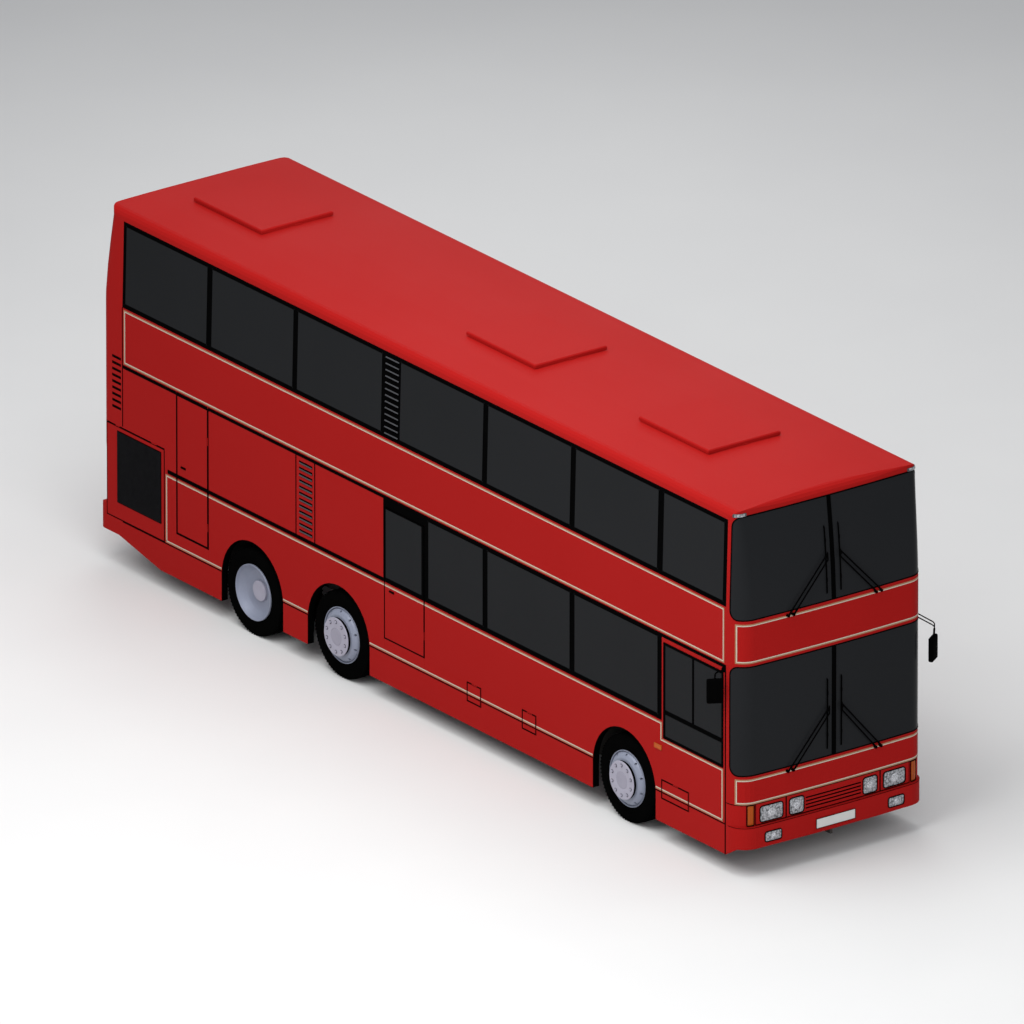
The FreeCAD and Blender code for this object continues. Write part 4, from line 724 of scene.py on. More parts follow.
def lathe(profile: Sequence[Pair], count: int) -> Shape:
    """Solid turned about the Y axis.

    Args:
        profile: Closed outline as (radius, outboard) points.
        count: Number of steps round.

    Returns:
        Points and faces.
    """
    verts = []
    for radius, out in profile:
        for index in range(count):
            angle = 2 * math.pi * index / count
            verts.append(Vector((radius * math.cos(angle), out, radius * math.sin(angle))))
    faces: list[tuple[int, ...]] = []
    size = len(profile)
    for k in range(size):
        near, far = k, (k + 1) % size
        on_axis = [profile[m][0] < NO_LENGTH for m in (near, far)]
        if all(on_axis):
            continue
        for i in range(count):
            j = (i + 1) % count
            corners = [near * count + i, near * count + j, far * count + j, far * count + i]
            if on_axis[0]:
                corners = [near * count, corners[2], corners[3]]
            if on_axis[1]:
                corners = [corners[0], corners[1], far * count]
            faces.append(tuple(corners))
    return verts, faces


def bend(before: Vector, here: Vector, after: Vector, radius: float, steps: int) -> list[Vector]:
    """Curve that rounds one corner.

    Args:
        before: Point before the corner.
        here: The corner.
        after: Point after the corner.
        radius: Largest cut from the corner, limited by the two sides.
        steps: Steps in the bend.

    Returns:
        Points of the curve.
    """
    one, two = before - here, after - here
    cut = min(radius, one.length * LARGEST_CUT, two.length * LARGEST_CUT)
    start, end = here + one.normalized() * cut, here + two.normalized() * cut
    shares = [step / steps for step in range(steps + 1)]
    return [start * (1 - t) ** 2 + here * 2 * t * (1 - t) + end * t * t for t in shares]


def rounded_outline(points: Sequence[Pair], radius: float, steps: int = 4) -> list[Pair]:
    """Closed outline whose every corner is rounded.

    Args:
        points: Corners.
        radius: Largest cut from a corner.
        steps: Steps in each bend.

    Returns:
        Points of the outline.
    """
    corners = [Vector(point) for point in points]
    trios = zip(corners[-1:] + corners, corners, corners[1:] + corners[:1])
    return [(at.x, at.y) for trio in trios for at in bend(*trio, radius, steps)]


def tube(points: Sequence[Vector], radius: float, sides: int = 12) -> Shape:
    """Round bar along a path, closed at both ends.

    Args:
        points: Path.
        radius: Radius of the bar.
        sides: Sides of its section.

    Returns:
        Points and faces.
    """
    verts, faces = [], []
    path = [Vector(p) for p in points]
    slant = Vector((0.31, 0.17, 0.93))
    for index, here in enumerate(path):
        before = path[max(index - 1, 0)]
        after = path[min(index + 1, len(path) - 1)]
        run = (after - before).normalized()
        across = run.cross(slant).normalized()
        other = run.cross(across)
        for side in range(sides):
            angle = 2 * math.pi * side / sides
            verts.append(here + (across * math.cos(angle) + other * math.sin(angle)) * radius)
    for index in range(len(path) - 1):
        for side in range(sides):
            after = (side + 1) % sides
            a, b = index * sides, (index + 1) * sides
            faces.append((a + side, a + after, b + after, b + side))
    faces.append(tuple(range(sides)))
    faces.append(tuple((len(path) - 1) * sides + side for side in reversed(range(sides))))
    return verts, faces


def bent_path(points: Sequence[Sequence[float]], radius: float, steps: int = 6) -> list[Vector]:
    """Path whose inner corners are rounded.

    Args:
        points: The ends and the corners between them.
        radius: Largest cut from a corner.
        steps: Steps in each bend.

    Returns:
        Points of the path.
    """
    path = [Vector(point) for point in points]
    trios = zip(path, path[1:], path[2:])
    return [path[0], *(at for trio in trios for at in bend(*trio, radius, steps)), path[-1]]


def corner_inset(near: float, radius: float) -> float:
    """How far a round corner stands in, at a distance from the edge across it.

    Args:
        near: Distance from the edge across the corner.
        radius: Radius of the corner.

    Returns:
        The inset.
    """
    if near >= radius:
        return 0.0
    return radius - math.sqrt(max(0.0, radius ** 2 - (radius - near) ** 2))


def rounded_block(
    name: str, low: Sequence[float], high: Sequence[float], radius: float, segments: int
) -> bpy.types.Object:
    """Box with bevelled edges.

    Args:
        name: Piece name.
        low: Lowest corner.
        high: Highest corner.
        radius: Bevel width.
        segments: Bevel steps.

    Returns:
        The object.
    """
    made = bmesh.new()
    points = [made.verts.new(corner) for corner in product(*zip(low, high))]
    for face in BOX_FACES:
        made.faces.new([points[i] for i in face])
    bmesh.ops.recalc_face_normals(made, faces=made.faces)
    bmesh.ops.bevel(
        made, geom=made.edges[:], offset=radius, segments=segments, profile=0.5,
        affect="EDGES", clamp_overlap=True,
    )
    return smooth(from_bmesh(name, made))


class Batch:
    """Collects raw shapes into one mesh."""

    def __init__(self, *shapes: Shape) -> None:
        """Start with some shapes.

        Args:
            shapes: Shapes to start with.
        """
        self.verts: list[Vector] = []
        self.faces: list[tuple[int, ...]] = []
        for shape in shapes:
            self.add(shape)

    def add(self, shape: Shape) -> None:
        """Add the points and faces of a shape.

        Args:
            shape: Points and faces.
        """
        verts, faces = shape
        start = len(self.verts)
        self.verts += verts
        self.faces += [tuple(start + i for i in face) for face in faces]

    def build(self, name: str, finish: Finish, degrees: float = SMOOTH_DEGREES) -> bpy.types.Object:
        """Make the object with a finish."""
        return dress(smooth(new_object(name, self.verts, self.faces), degrees), finish)


class Repeat:
    """Geometry Nodes tree that repeats one shape along a line or round a circle."""

    def __init__(self, name: str, finish: Finish) -> None:
        """Open a tree.

        Args:
            name: Tree name.
            finish: Finish that the tree sets on its result.
        """
        self.tree = bpy.data.node_groups.new(name, "GeometryNodeTree")
        self.finish = finish
        self.keys: dict[str, str] = {}
        self.tree.interface.new_socket(
            "Geometry", in_out="OUTPUT", socket_type="NodeSocketGeometry"
        )
        self.source = self.tree.nodes.new("NodeGroupInput")
        self.sink = self.tree.nodes.new("NodeGroupOutput")

    def input(self, name: str, kind: str, socket: bpy.types.NodeSocket) -> None:
        """Let a named input of the tree set a socket.

        Args:
            name: Name of the input.
            kind: Int, Float or Vector.
            socket: Socket that it sets.
        """
        made = self.tree.interface.new_socket(
            name, in_out="INPUT", socket_type="NodeSocket" + kind
        )
        self.keys[name] = made.identifier
        self.link(self.source.outputs[name], socket)

    def node(self, kind: str, **settings: object) -> bpy.types.Node:
        """Add a node and set its properties.

        Args:
            kind: Node type.
            settings: Its properties by name.

        Returns:
            The node.
        """
        node = self.tree.nodes.new(kind)
        for key, value in settings.items():
            setattr(node, key, value)
        return node

    def link(self, start: bpy.types.NodeSocket, end: bpy.types.NodeSocket) -> None:
        """Join two sockets."""
        self.tree.links.new(start, end)

    def scatter(self, points: bpy.types.Node, shape: bpy.types.Node) -> bpy.types.Node:
        """Add the node that sets a shape on every point.

        Args:
            points: Node that makes the points.
            shape: Node that makes the shape.

        Returns:
            The node that sets them.
        """
        place = self.node("GeometryNodeInstanceOnPoints")
        self.link(points.outputs[0], place.inputs["Points"])
        self.link(shape.outputs[0], place.inputs["Instance"])
        return place

    def circle(self, shape: bpy.types.Node, turn: float) -> bpy.types.Node:
        """Set a shape round a circle about the Y axis and close the tree.

        Args:
            shape: Node of the shape.
            turn: Angle by which the circle is turned about its axis.

        Returns:
            The node that sets the shapes.
        """
        points = self.node("GeometryNodeMeshCircle")
        self.input("Count", "Int", points.inputs["Vertices"])
        self.input("Circle", "Float", points.inputs["Radius"])
        place = self.scatter(points, shape)
        stand = self.node("GeometryNodeTransform")
        stand.inputs["Rotation"].default_value = (math.pi / 2, turn, 0.0)
        self.input("Centre", "Vector", stand.inputs["Translation"])
        self.link(place.outputs[0], stand.inputs[0])
        self.close(stand.outputs[0])
        return place

    def close(self, geometry: bpy.types.NodeSocket) -> None:
        """End the tree in Realize Instances and Set Material.

        Args:
            geometry: Socket of the finished shape.
        """
        realize = self.node("GeometryNodeRealizeInstances")
        paint = self.node("GeometryNodeSetMaterial")
        paint.inputs["Material"].default_value = self.finish.material()
        self.link(geometry, realize.inputs[0])
        self.link(realize.outputs[0], paint.inputs[0])
        self.link(paint.outputs[0], self.sink.inputs[0])

    def bake(self, name: str, **values: object) -> bpy.types.Object:
        """Evaluate the tree with its inputs set and keep the plain mesh.

        Args:
            name: Piece name.
            values: Input values by input name.

        Returns:
            The object with a plain mesh.
        """
        holder = linked(name, bpy.data.meshes.new(name))
        modifier = holder.modifiers.new("repeat", "NODES")
        modifier.node_group = self.tree
        for key, value in values.items():
            modifier[self.keys[key]] = value
        return bake_modifiers(holder)


def bar_row(finish: Finish) -> Repeat:
    """Tree for a row of equal bars, such as louvre slats or grille ribs.

    Args:
        finish: Finish of the bars.

    Returns:
        The tree.
    """
    tree = Repeat("bar_row_" + finish.name, finish)
    line = tree.node("GeometryNodeMeshLine", mode="OFFSET")
    bar = tree.node("GeometryNodeMeshCube")
    place = tree.scatter(line, bar)
    tree.input("Count", "Int", line.inputs["Count"])
    tree.input("Start", "Vector", line.inputs["Start Location"])
    tree.input("Step", "Vector", line.inputs["Offset"])
    tree.input("Size", "Vector", bar.inputs["Size"])
    tree.input("Turn", "Vector", place.inputs["Rotation"])
    tree.close(place.outputs[0])
    return tree


def nut_circle(finish: Finish) -> Repeat:
    """Tree for a circle of equal studs about the Y axis, turned by half of a nut's step.

    Args:
        finish: Finish of the studs.

    Returns:
        The tree.
    """
    tree = Repeat("nut_circle_" + finish.name, finish)
    stud = tree.node("GeometryNodeMeshCylinder")
    tree.input("Sides", "Int", stud.inputs["Vertices"])
    tree.input("Radius", "Float", stud.inputs["Radius"])
    tree.input("Height", "Float", stud.inputs["Depth"])
    tree.circle(stud, math.pi / NUTS)
    return tree


def tread_circle(finish: Finish) -> Repeat:
    """Tree for equal blocks round a tyre, each turned to face away from the axle.

    Args:
        finish: Finish of the blocks.

    Returns:
        The tree.
    """
    tree = Repeat("tread_circle_" + finish.name, finish)
    lug = tree.node("GeometryNodeMeshCube")
    tree.input("Size", "Vector", lug.inputs["Size"])
    place = tree.circle(lug, 0.0)
    where = tree.node("GeometryNodeInputPosition")
    align = tree.node("FunctionNodeAlignEulerToVector", axis="X")
    tree.link(where.outputs[0], align.inputs["Vector"])
    tree.link(align.outputs[0], place.inputs["Rotation"])
    return tree


# Assemblies


@dataclass
class Assembly:
    """Part of the coach that knows the frame and hands its pieces over to it."""

    frame: dict

    def __post_init__(self) -> None:
        """Note the body of every CAD node."""
        self.bodies = {
            node: body
            for body, nodes in self.frame["record"]["behaviour"]["bodies"].items()
            for node in nodes
        }

    def hand_over(
        self, obj: bpy.types.Object, slot: str | None, body: str = BODY,
        stands_for: Iterable[str] = (),
    ) -> None:
        """Let a piece ride on a body and hide the CAD nodes that it replaces.

        Args:
            obj: The piece.
            slot: Material slot of the record, if it has one; not used.
            body: CAD body that it moves with.
            stands_for: CAD nodes that it replaces.
        """
        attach(obj, body)
        for node in stands_for:
            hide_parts(node)
        LOG.info("%s on %s, %d faces", obj.name, body, len(obj.data.polygons))

    def fit(
        self, name: str, batch: Batch, finish: Finish = BLACK, body: str = BODY,
        degrees: float = SMOOTH_DEGREES, stands_for: Iterable[str] = (),
    ) -> None:
        """Build a batch as one piece and hand it over.

        Args:
            name: Piece name.
            batch: Its shapes.
            finish: Its finish.
            body: CAD body that it moves with.
            degrees: Angle up to which an edge is shaded smooth.
            stands_for: CAD nodes that it replaces.
        """
        self.hand_over(batch.build(name, finish, degrees), finish.slot, body, stands_for)

    def merged(self, node: str) -> bmesh.types.BMesh:
        """Copy of a CAD node's triangles, joined at their points and across flat faces.

        Args:
            node: The CAD node.

        Returns:
            Mesh data, to be freed by its user.
        """
        made = bmesh.new()
        made.from_mesh(self.frame["nodes"][node].data)
        bmesh.ops.remove_doubles(made, verts=made.verts, dist=MERGE_LENGTH)
        bmesh.ops.dissolve_limit(
            made, angle_limit=math.radians(FLAT_DEGREES), verts=made.verts, edges=made.edges
        )
        return made

    def refine(self, finish: Finish, *nodes: str, degrees: float = SMOOTH_DEGREES) -> None:
        """Set merged copies of CAD nodes in their places.

        Args:
            finish: Their finish.
            nodes: The CAD nodes.
            degrees: Angle up to which an edge is shaded smooth.
        """
        for node in nodes:
            skin = even_normals(smooth(from_bmesh(node + "_skin", self.merged(node)), degrees))
            self.hand_over(dress(skin, finish), finish.slot, self.bodies[node], [node])

    def keep(self, finish: Finish, *nodes: str) -> None:
        """Leave CAD nodes showing, with a finish of this script.

        Args:
            finish: Their finish.
            nodes: The CAD nodes.
        """
        for node in nodes:
            dress(self.frame["nodes"][node], finish)
            LOG.info("%s kept", node)


@dataclass(frozen=True)
class Panel:
    """Moving panel in a side wall, as a rectangle of lengths and heights."""

    body: str
    side: int
    x: Pair
    z: Pair


MOVING_PANELS = (
    Panel("emergency_door", -1, (-0.579, 0.129), (0.747, 2.261)),
    Panel("service_door", -1, (-4.357, -3.799), (0.753, 2.36)),
    Panel("locker_flap", -1, (4.404, 4.871), (0.503, 0.708)),
    Panel("front_filler_flap", -1, (1.907, 2.14), (0.503, 0.708)),
    Panel("rear_filler_flap", -1, (0.915, 1.148), (0.503, 0.708)),
)
ENGINE_FLAPS = tuple(
    Panel("engine_flap_" + SIDE_WORDS[side], side, (-5.646, -4.59), (0.573, 1.649))
    for side in SIDES
)


class SideStrips:
    """Flat strips on one side, cut where they cross a moving panel."""

    def __init__(self, side: int, proud: float) -> None:
        """Start empty.

        Args:
            side: 1 for the nearside, -1 for the offside.
            proud: How far a strip stands out.
        """
        self.side = side
        self.proud = proud
        self.surface = side_surface(side)
        self.batches: dict[str, Batch] = {}

    def add(self, x: Pair, z: Pair) -> None:
        """Add a strip between two lengths and two heights.

        Args:
            x: Limits in length.
            z: Limits in height.
        """
        pieces = [(x, z, BODY)]
        for panel in MOVING_PANELS:
            if panel.side == self.side:
                pieces = [part for piece in pieces for part in self._split(*piece, panel)]
        for px, pz, body in pieces:
            batch = self.batches.setdefault(body, Batch())
            batch.add(slab(self.surface, px, pz, (PAINT_DEPTH, self.proud)))

    @staticmethod
    def _split(x: Pair, z: Pair, body: str, panel: Panel) -> list[tuple[Pair, Pair, str]]:
        """Cut one strip at the edges of a panel.

        Args:
            x: Lengths of the strip.
            z: Heights of the strip.
            body: Body that it rides on so far.
            panel: Moving panel.

        Returns:
            The parts of the strip with their bodies.
        """
        low, high = max(x[0], panel.x[0]), min(x[1], panel.x[1])
        bottom, top = max(z[0], panel.z[0]), min(z[1], panel.z[1])
        if low >= high or bottom >= top:
            return [(x, z, body)]
        parts = [((low, high), (bottom, top), panel.body)]
        if x[0] < panel.x[0] - PANEL_GAP:
            parts.append(((x[0], panel.x[0] - PANEL_GAP), z, body))
        if x[1] > panel.x[1] + 2 * PANEL_GAP:
            parts.append(((panel.x[1] + 2 * PANEL_GAP, x[1]), z, body))
        if z[0] < panel.z[0] - PANEL_GAP:
            parts.append(((low, high), (z[0], panel.z[0] - PANEL_GAP), body))
        if z[1] > panel.z[1] + 2 * PANEL_GAP:
            parts.append(((low, high), (panel.z[1] + 2 * PANEL_GAP, z[1]), body))
        return parts

    def frame(self, x: Pair, z: Pair, width: float) -> None:
        """Add four strips round a rectangle, inside its edges.

        Args:
            x: Outer limits in length.
            z: Outer limits in height.
            width: Width of the strips.
        """
        self.add(x, (z[0], z[0] + width))
        self.add(x, (z[1] - width, z[1]))
        self.add((x[0], x[0] + width), (z[0] + width, z[1] - width))
        self.add((x[1] - width, x[1]), (z[0] + width, z[1] - width))


def clear_runs(start: float, end: float) -> list[Pair]:
    """Stretches of a side's lower edge that no wheel arch interrupts.

    Args:
        start: Rear end of the edge.
        end: Its front end.

    Returns:
        The stretches, from the rear forwards.
    """
    runs = []
    for axle in sorted(AXLES.values()):
        runs.append((start, axle - ARCH_REACH))
        start = axle + ARCH_REACH
    return runs + [(start, end)]


@dataclass
class Bodywork(Assembly):
    """Painted panels, their joints and the lining on them."""

    gold: float = 0.014
    cream: float = 0.011
    proud: float = 0.0012

    def build(self) -> None:
        """Dress the panels and add joints and lining."""
        self.refine(
            RED, "skirt_panels", "side_panels", "deck_panels", "front_panel", "front_band",
            "bumpers", "rear_moulding", "rear_quarters", "engine_door", "engine_flap_left",
            "engine_flap_right",
        )
        self.refine(RED, "roof", "hatch_front", "hatch_middle", "hatch_rear", degrees=0.2)
        self.refine(RED, *(panel.body for panel in MOVING_PANELS), "passenger_door")
        for side in SIDES:
            self.joints(side)
            self.lining(side)
        self.arch_linings()
        self.outlines()
        self.front_lining()

    def arch_linings(self) -> None:
        """Black linings inside the edges of the wheel arches."""
        across, radii, share = (1.17, 1.2488), (0.5575, 0.5632), 0.0125
        self.fit("arch_linings", Batch(*(
            slab(self._arch_surface(axle, side), (0.0, 1.0), across, radii, share)
            for side in SIDES for axle in AXLES.values()
        )))

    @staticmethod
    def _arch_surface(axle: float, side: int) -> Surface:
        """Surface of one arch, addressed by a share of its length, depth and radius.

        Args:
            axle: Place of the axle.
            side: 1 for the nearside, -1 for the offside.

        Returns:
            The mapping from (share, depth, radius) to a point.
        """
        bottom, spring = 0.2225, 0.52
        legs = spring - bottom

        def place(share: float, depth: float, radius: float) -> Vector:
            """Point on the arch.

            Args:
                share: Share of the arch's length, from its rear foot.
                depth: Distance from the vehicle's middle.
                radius: Radius of the arch.

            Returns:
                The point.
            """
            run = share * (2 * legs + math.pi * radius)
            past = run - legs - math.pi * radius
            if run <= legs:
                return Vector((axle - radius, side * depth, bottom + run))
            if past >= 0.0:
                return Vector((axle + radius, side * depth, spring - past))
            angle = math.pi - (run - legs) / radius
            return Vector((
                axle + radius * math.cos(angle), side * depth, spring + radius * math.sin(angle),
            ))

        return place

    def outlines(self) -> None:
        """Black edges on both sides of the gaps round doors and flaps."""
        narrow, broad, wall = 0.0055, 0.0095, 0.0006
        corner, depth, step = 0.003, (-0.018, self.proud), 0.5
        edges: dict[str, Batch] = {}
        for panel in MOVING_PANELS + ENGINE_FLAPS:
            wide = broad if panel.body in ("service_door", "engine_flap_right") else narrow
            surface = side_surface(panel.side)
            edge = [(low - wall, high + wall) for low, high in (panel.x, panel.z)]
            own = edges.setdefault(panel.body, Batch())
            own.add(ring(surface, *edge, corner, wide, depth, step))
            if panel in MOVING_PANELS:
                opening = ((panel.x[0] - PANEL_GAP - wide, panel.x[1] + 2 * PANEL_GAP + wide),
                           (panel.z[0] - PANEL_GAP - wide, panel.z[1] + PANEL_GAP + wide))
                body = edges.setdefault(BODY, Batch())
                body.add(ring(surface, *opening, corner, wide + wall, depth, step))
        for body, batch in edges.items():
            self.fit("outline_" + body, batch, body=body)

    def fit_strips(self, word: str, strips: SideStrips, finish: Finish) -> None:
        """Hand over the strips of one side, as one piece for each body."""
        for body, batch in strips.batches.items():
            self.fit(f"{word}_{SIDE_WORDS[strips.side]}_{body}", batch, finish, body)

    def joints(self, side: int) -> None:
        """Black mouldings and panel joints of one side.

        Args:
            side: 1 for the nearside, -1 for the offside.
        """
        strips = SideStrips(side, 0.003)
        rear, nose, door = -5.352, 5.534, 4.514
        skirt, deck, rail = (0.561, 0.573), (2.356, 2.394), (1.392, 1.436)
        for run in clear_runs(rear, nose if side < 0 else door):
            strips.add(run, skirt)
        strips.add((rear, nose), deck)
        strips.add((-4.527, -0.604), rail)
        for x in (-2.185, -1.843):
            strips.add((x - 0.007, x + 0.007), (rail[1], deck[0]))
        strips.add((-5.358, -5.346), (1.675, 3.061))
        if side < 0:
            strips.add((5.524, 5.541), (0.222, deck[1]))
        self.fit_strips("panel_joints", strips, BLACK)

    def lining(self, side: int) -> None:
        """Two-tone lining of one side: a gold line with a cream line inside it.

        Args:
            side: 1 for the nearside, -1 for the offside.
        """
        gold, cream = SideStrips(side, self.proud), SideStrips(side, self.proud)
        wide, both = self.gold, self.gold + self.cream
        (aft, fore), (bottom, top) = (-5.328, 5.508), (2.4095, 3.0405)
        gold.frame((aft, fore), (bottom, top), wide)
        cream.frame((aft + wide, fore - wide), (bottom + wide, top - wide), self.cream)
        low, high, step, rear = 0.5815, 1.3735, 1.1845, -4.566
        front = 5.491 if side < 0 else 4.5
        stop = 4.389 if side < 0 else front
        for run in clear_runs(rear, front):
            gold.add(run, (low, low + wide))
            cream.add(run, (low + wide, low + both))
        gold.add((rear, rear + wide), (low + wide, high))
        cream.add((rear + wide, rear + both), (low + both, high - both))
        gold.add((rear + wide, stop + wide), (high - wide, high))
        cream.add((rear + wide, stop), (high - both, high - wide))
        if side < 0:
            gold.add((stop, stop + wide), (step, high - wide))
            cream.add((stop - self.cream, stop), (step - both, high - both))
            gold.add((stop + wide, front), (step - wide, step))
            cream.add((stop, front - wide), (step - both, step - wide))
            high = step
        gold.add((front - wide, front), (low + wide, high - wide))
        cream.add((front - both, front - wide), (low + both, high - wide - self.cream))
        self.fit_strips("lining_gold", gold, GOLD)
        self.fit_strips("lining_cream", cream, CREAM)

    def front_lining(self) -> None:
        """Lining of the front band and of the panel below the lower windscreen."""
        gold, cream = Batch(), Batch()
        wide, both = self.gold, self.gold + self.cream

        def strip(s: Sequence[float], z: Pair) -> Shape:
            """Painted strip on the front."""
            return slab(FRONT.at, s, z, (PAINT_DEPTH, self.proud), FRONT_STEP)

        for bottom, top in ((2.4425, 2.8945), (0.8235, 1.1165)):
            s = FRONT.along(1.215, bottom) + 0.012
            inner = s - wide
            for height in ((bottom, bottom + wide), (top - wide, top)):
                gold.add(strip((-s, s), height))
            for height in ((bottom + wide, bottom + both), (top - both, top - wide)):
                cream.add(strip((-inner, inner), height))
            for side in SIDES:
                gold.add(strip(sorted((side * s, side * inner)), (bottom, top)))
                cream.add(strip(sorted((side * inner, side * (s - both))),
                                (bottom + wide, top - wide)))
        self.fit("lining_gold_front", gold, GOLD)
        self.fit("lining_cream_front", cream, CREAM)


@dataclass
class Glazing(Assembly):
    """Side windows, the driver's window and the two windscreens."""

    upper_panes: tuple[Pair, ...] = (
        (-5.31, -3.81), (-3.738, -2.243), (-2.179, -0.638), (-0.318, 1.187), (1.254, 2.757),
        (2.826, 4.318), (4.398, 5.487),
    )
    lower_panes: tuple[Pair, ...] = ((0.201, 1.201), (1.268, 2.762), (2.829, 4.332))
    nearside_pane: Pair = (-0.56, 0.134)
    upper: Pair = (3.106, 4.013)
    lower: Pair = (1.444, 2.347)
    seal: float = 0.009
    driver_x: Pair = (4.429, 5.496)
    driver_z: Pair = (1.2, 2.306)
    transom: Pair = (1.483, 1.531)
    margin: float = 0.055
    corner: float = 0.11

    def build(self) -> None:
        """Dress the bands and panes, and add seals, frames and windscreens."""
        self.refine(BLACK, "lower_window_band", "upper_window_band")
        self.refine(GLASS, "window_glass", "passenger_door_glass", "emergency_door_glass")
        self.refine(BLACK, "windscreen_posts")
        seals = Batch()
        for side in SIDES:
            own = (self.nearside_pane,) if side > 0 else ()
            rows = [(pane, self.upper) for pane in self.upper_panes]
            rows += [(pane, self.lower) for pane in own + self.lower_panes]
            for pane, height in rows:
                seals.add(ring(side_surface(side), pane, height, 0.02, self.seal,
                               (-0.002, 0.0025), 0.3))
        self.fit("window_seals", seals)
        self.driver_window()
        self.screens()

    def driver_window(self) -> None:
        """Black frame of the driver's window, with its transom and divider."""
        surface, inset, bar = side_surface(-1), 0.028, 0.03
        inner = (self.driver_x[0] + inset, self.driver_x[1] - inset)
        above = (self.transom[1], self.driver_z[1] - bar)
        self.fit("driver_window_frame", Batch(
            ring(surface, self.driver_x, self.driver_z, 0.012, bar, (-0.004, 0.006), 0.3),
            slab(surface, inner, self.transom, (-0.004, 0.005)),
            slab(surface, (4.942, 4.972), above, (-0.004, 0.004)),
        ))

    def screens(self) -> None:
        """Wrap-round windscreens with rounded corners, seals and a middle bar."""
        glass, seals, surround = Batch(), Batch(), Batch()
        for low, high in ((1.148, 2.411), (2.93, 4.1)):
            self._screen(low, high, glass, seals, surround)
        # The windscreens take the lighter copy of the glass: painted light.
        self.fit("windscreen_glass", glass, LIT_SCREEN, degrees=60, stands_for=["windscreens"])
        self.fit("windscreen_seals", seals, degrees=50)
        self.fit("windscreen_surround", surround, RED, degrees=50)

    def _screen(
        self, low: float, high: float, glass: Batch, seals: Batch, surround: Batch
    ) -> None:
        """Add one windscreen to the batches.

        Args:
            low: Bottom of the screen.
            high: Top of the screen.
            glass: Batch of the panes.
            seals: Batch of the seals and the middle bar.
            surround: Batch of the painted margins.
        """

        def place(k: float, z: float, proud: float) -> Vector:
            """Point at a share of the way from the middle to the flat side."""
            return FRONT.at(k * FRONT.edge(z), z, proud)

        def flat(s: float, z: float, proud: float) -> Vector:
            """Point at a length from the middle as measured at the screen's foot."""
            return place(s / reach, z, proud)

        reach = FRONT.edge(low)
        limit = 1 - self.margin / reach
        even, columns, border, depth = 14, 96, 4, -0.01
        bends = [self.corner * (1 - math.cos(math.radians(t))) for t in range(0, 91, 10)]
        rows = sorted({low + (high - low) * i / even for i in range(even + 1)}
                      | {low + rise for rise in bends} | {high - rise for rise in bends})
        verts: list[Vector] = []
        margins: list[list[Vector]] = [[], []]
        for level in (0.0, depth):
            for z in rows:
                end = limit - corner_inset(min(z - low, high - z), self.corner) / reach
                verts += [place(-end + 2 * end * j / columns, z, level)
                          for j in range(columns + 1)]
                for points, side in zip(margins, SIDES):
                    points += [place(side * (end + (1 - end) * j / border), z, level)
                               for j in range(border + 1)]
        glass.add((verts, sheet_faces(len(rows), columns + 1)))
        for points in margins:
            surround.add((points, sheet_faces(len(rows), border + 1)))
        span = limit * reach
        seals.add(ring(flat, (-span, span), (low, high), self.corner, 0.013, (-0.004, 0.004)))
        seals.add(slab(flat, (-0.027, 0.027), (low + 0.01, high - 0.01), (-0.004, 0.006), 0.1))


def lens(skin: EndSkin, s: Pair, z: Pair, radius: float, lift: float = 0.0) -> Shape:
    """Domed lens with upright flutes and rounded corners.

    Args:
        skin: Surface that it sits in.
        s: Limits along the surface.
        z: Limits in height.
        radius: Corner radius.
        lift: Distance of its rim from the surface.

    Returns:
        Points and faces.
    """
    rows, columns = 16, 40
    bulge, ripple, pitch, depth = 0.008, 0.0012, 0.018, -0.02
    verts: list[Vector] = []
    for level in (1, 0):
        for i in range(rows + 1):
            height = z[0] + (z[1] - z[0]) * i / rows
            inset = corner_inset(min(height - z[0], z[1] - height), radius)
            for j in range(columns + 1):
                share = j / columns
                at = s[0] + inset + (s[1] - s[0] - 2 * inset) * share
                dome = bulge * (1 - (2 * share - 1) ** 4) * (1 - (2 * i / rows - 1) ** 4)
                flute = ripple * math.cos(at * 2 * math.pi / pitch)
                verts.append(skin.at(at, height, lift + dome + flute if level else depth))
    return verts, sheet_faces(rows + 1, columns + 1)


@dataclass(frozen=True)
class Lamp:
    """Lamp of the front, placed by its middle, with its size and its corners' radius."""

    y: float
    z: float
    across: float
    up: float
    corner: float
    bowl: float = 0.0


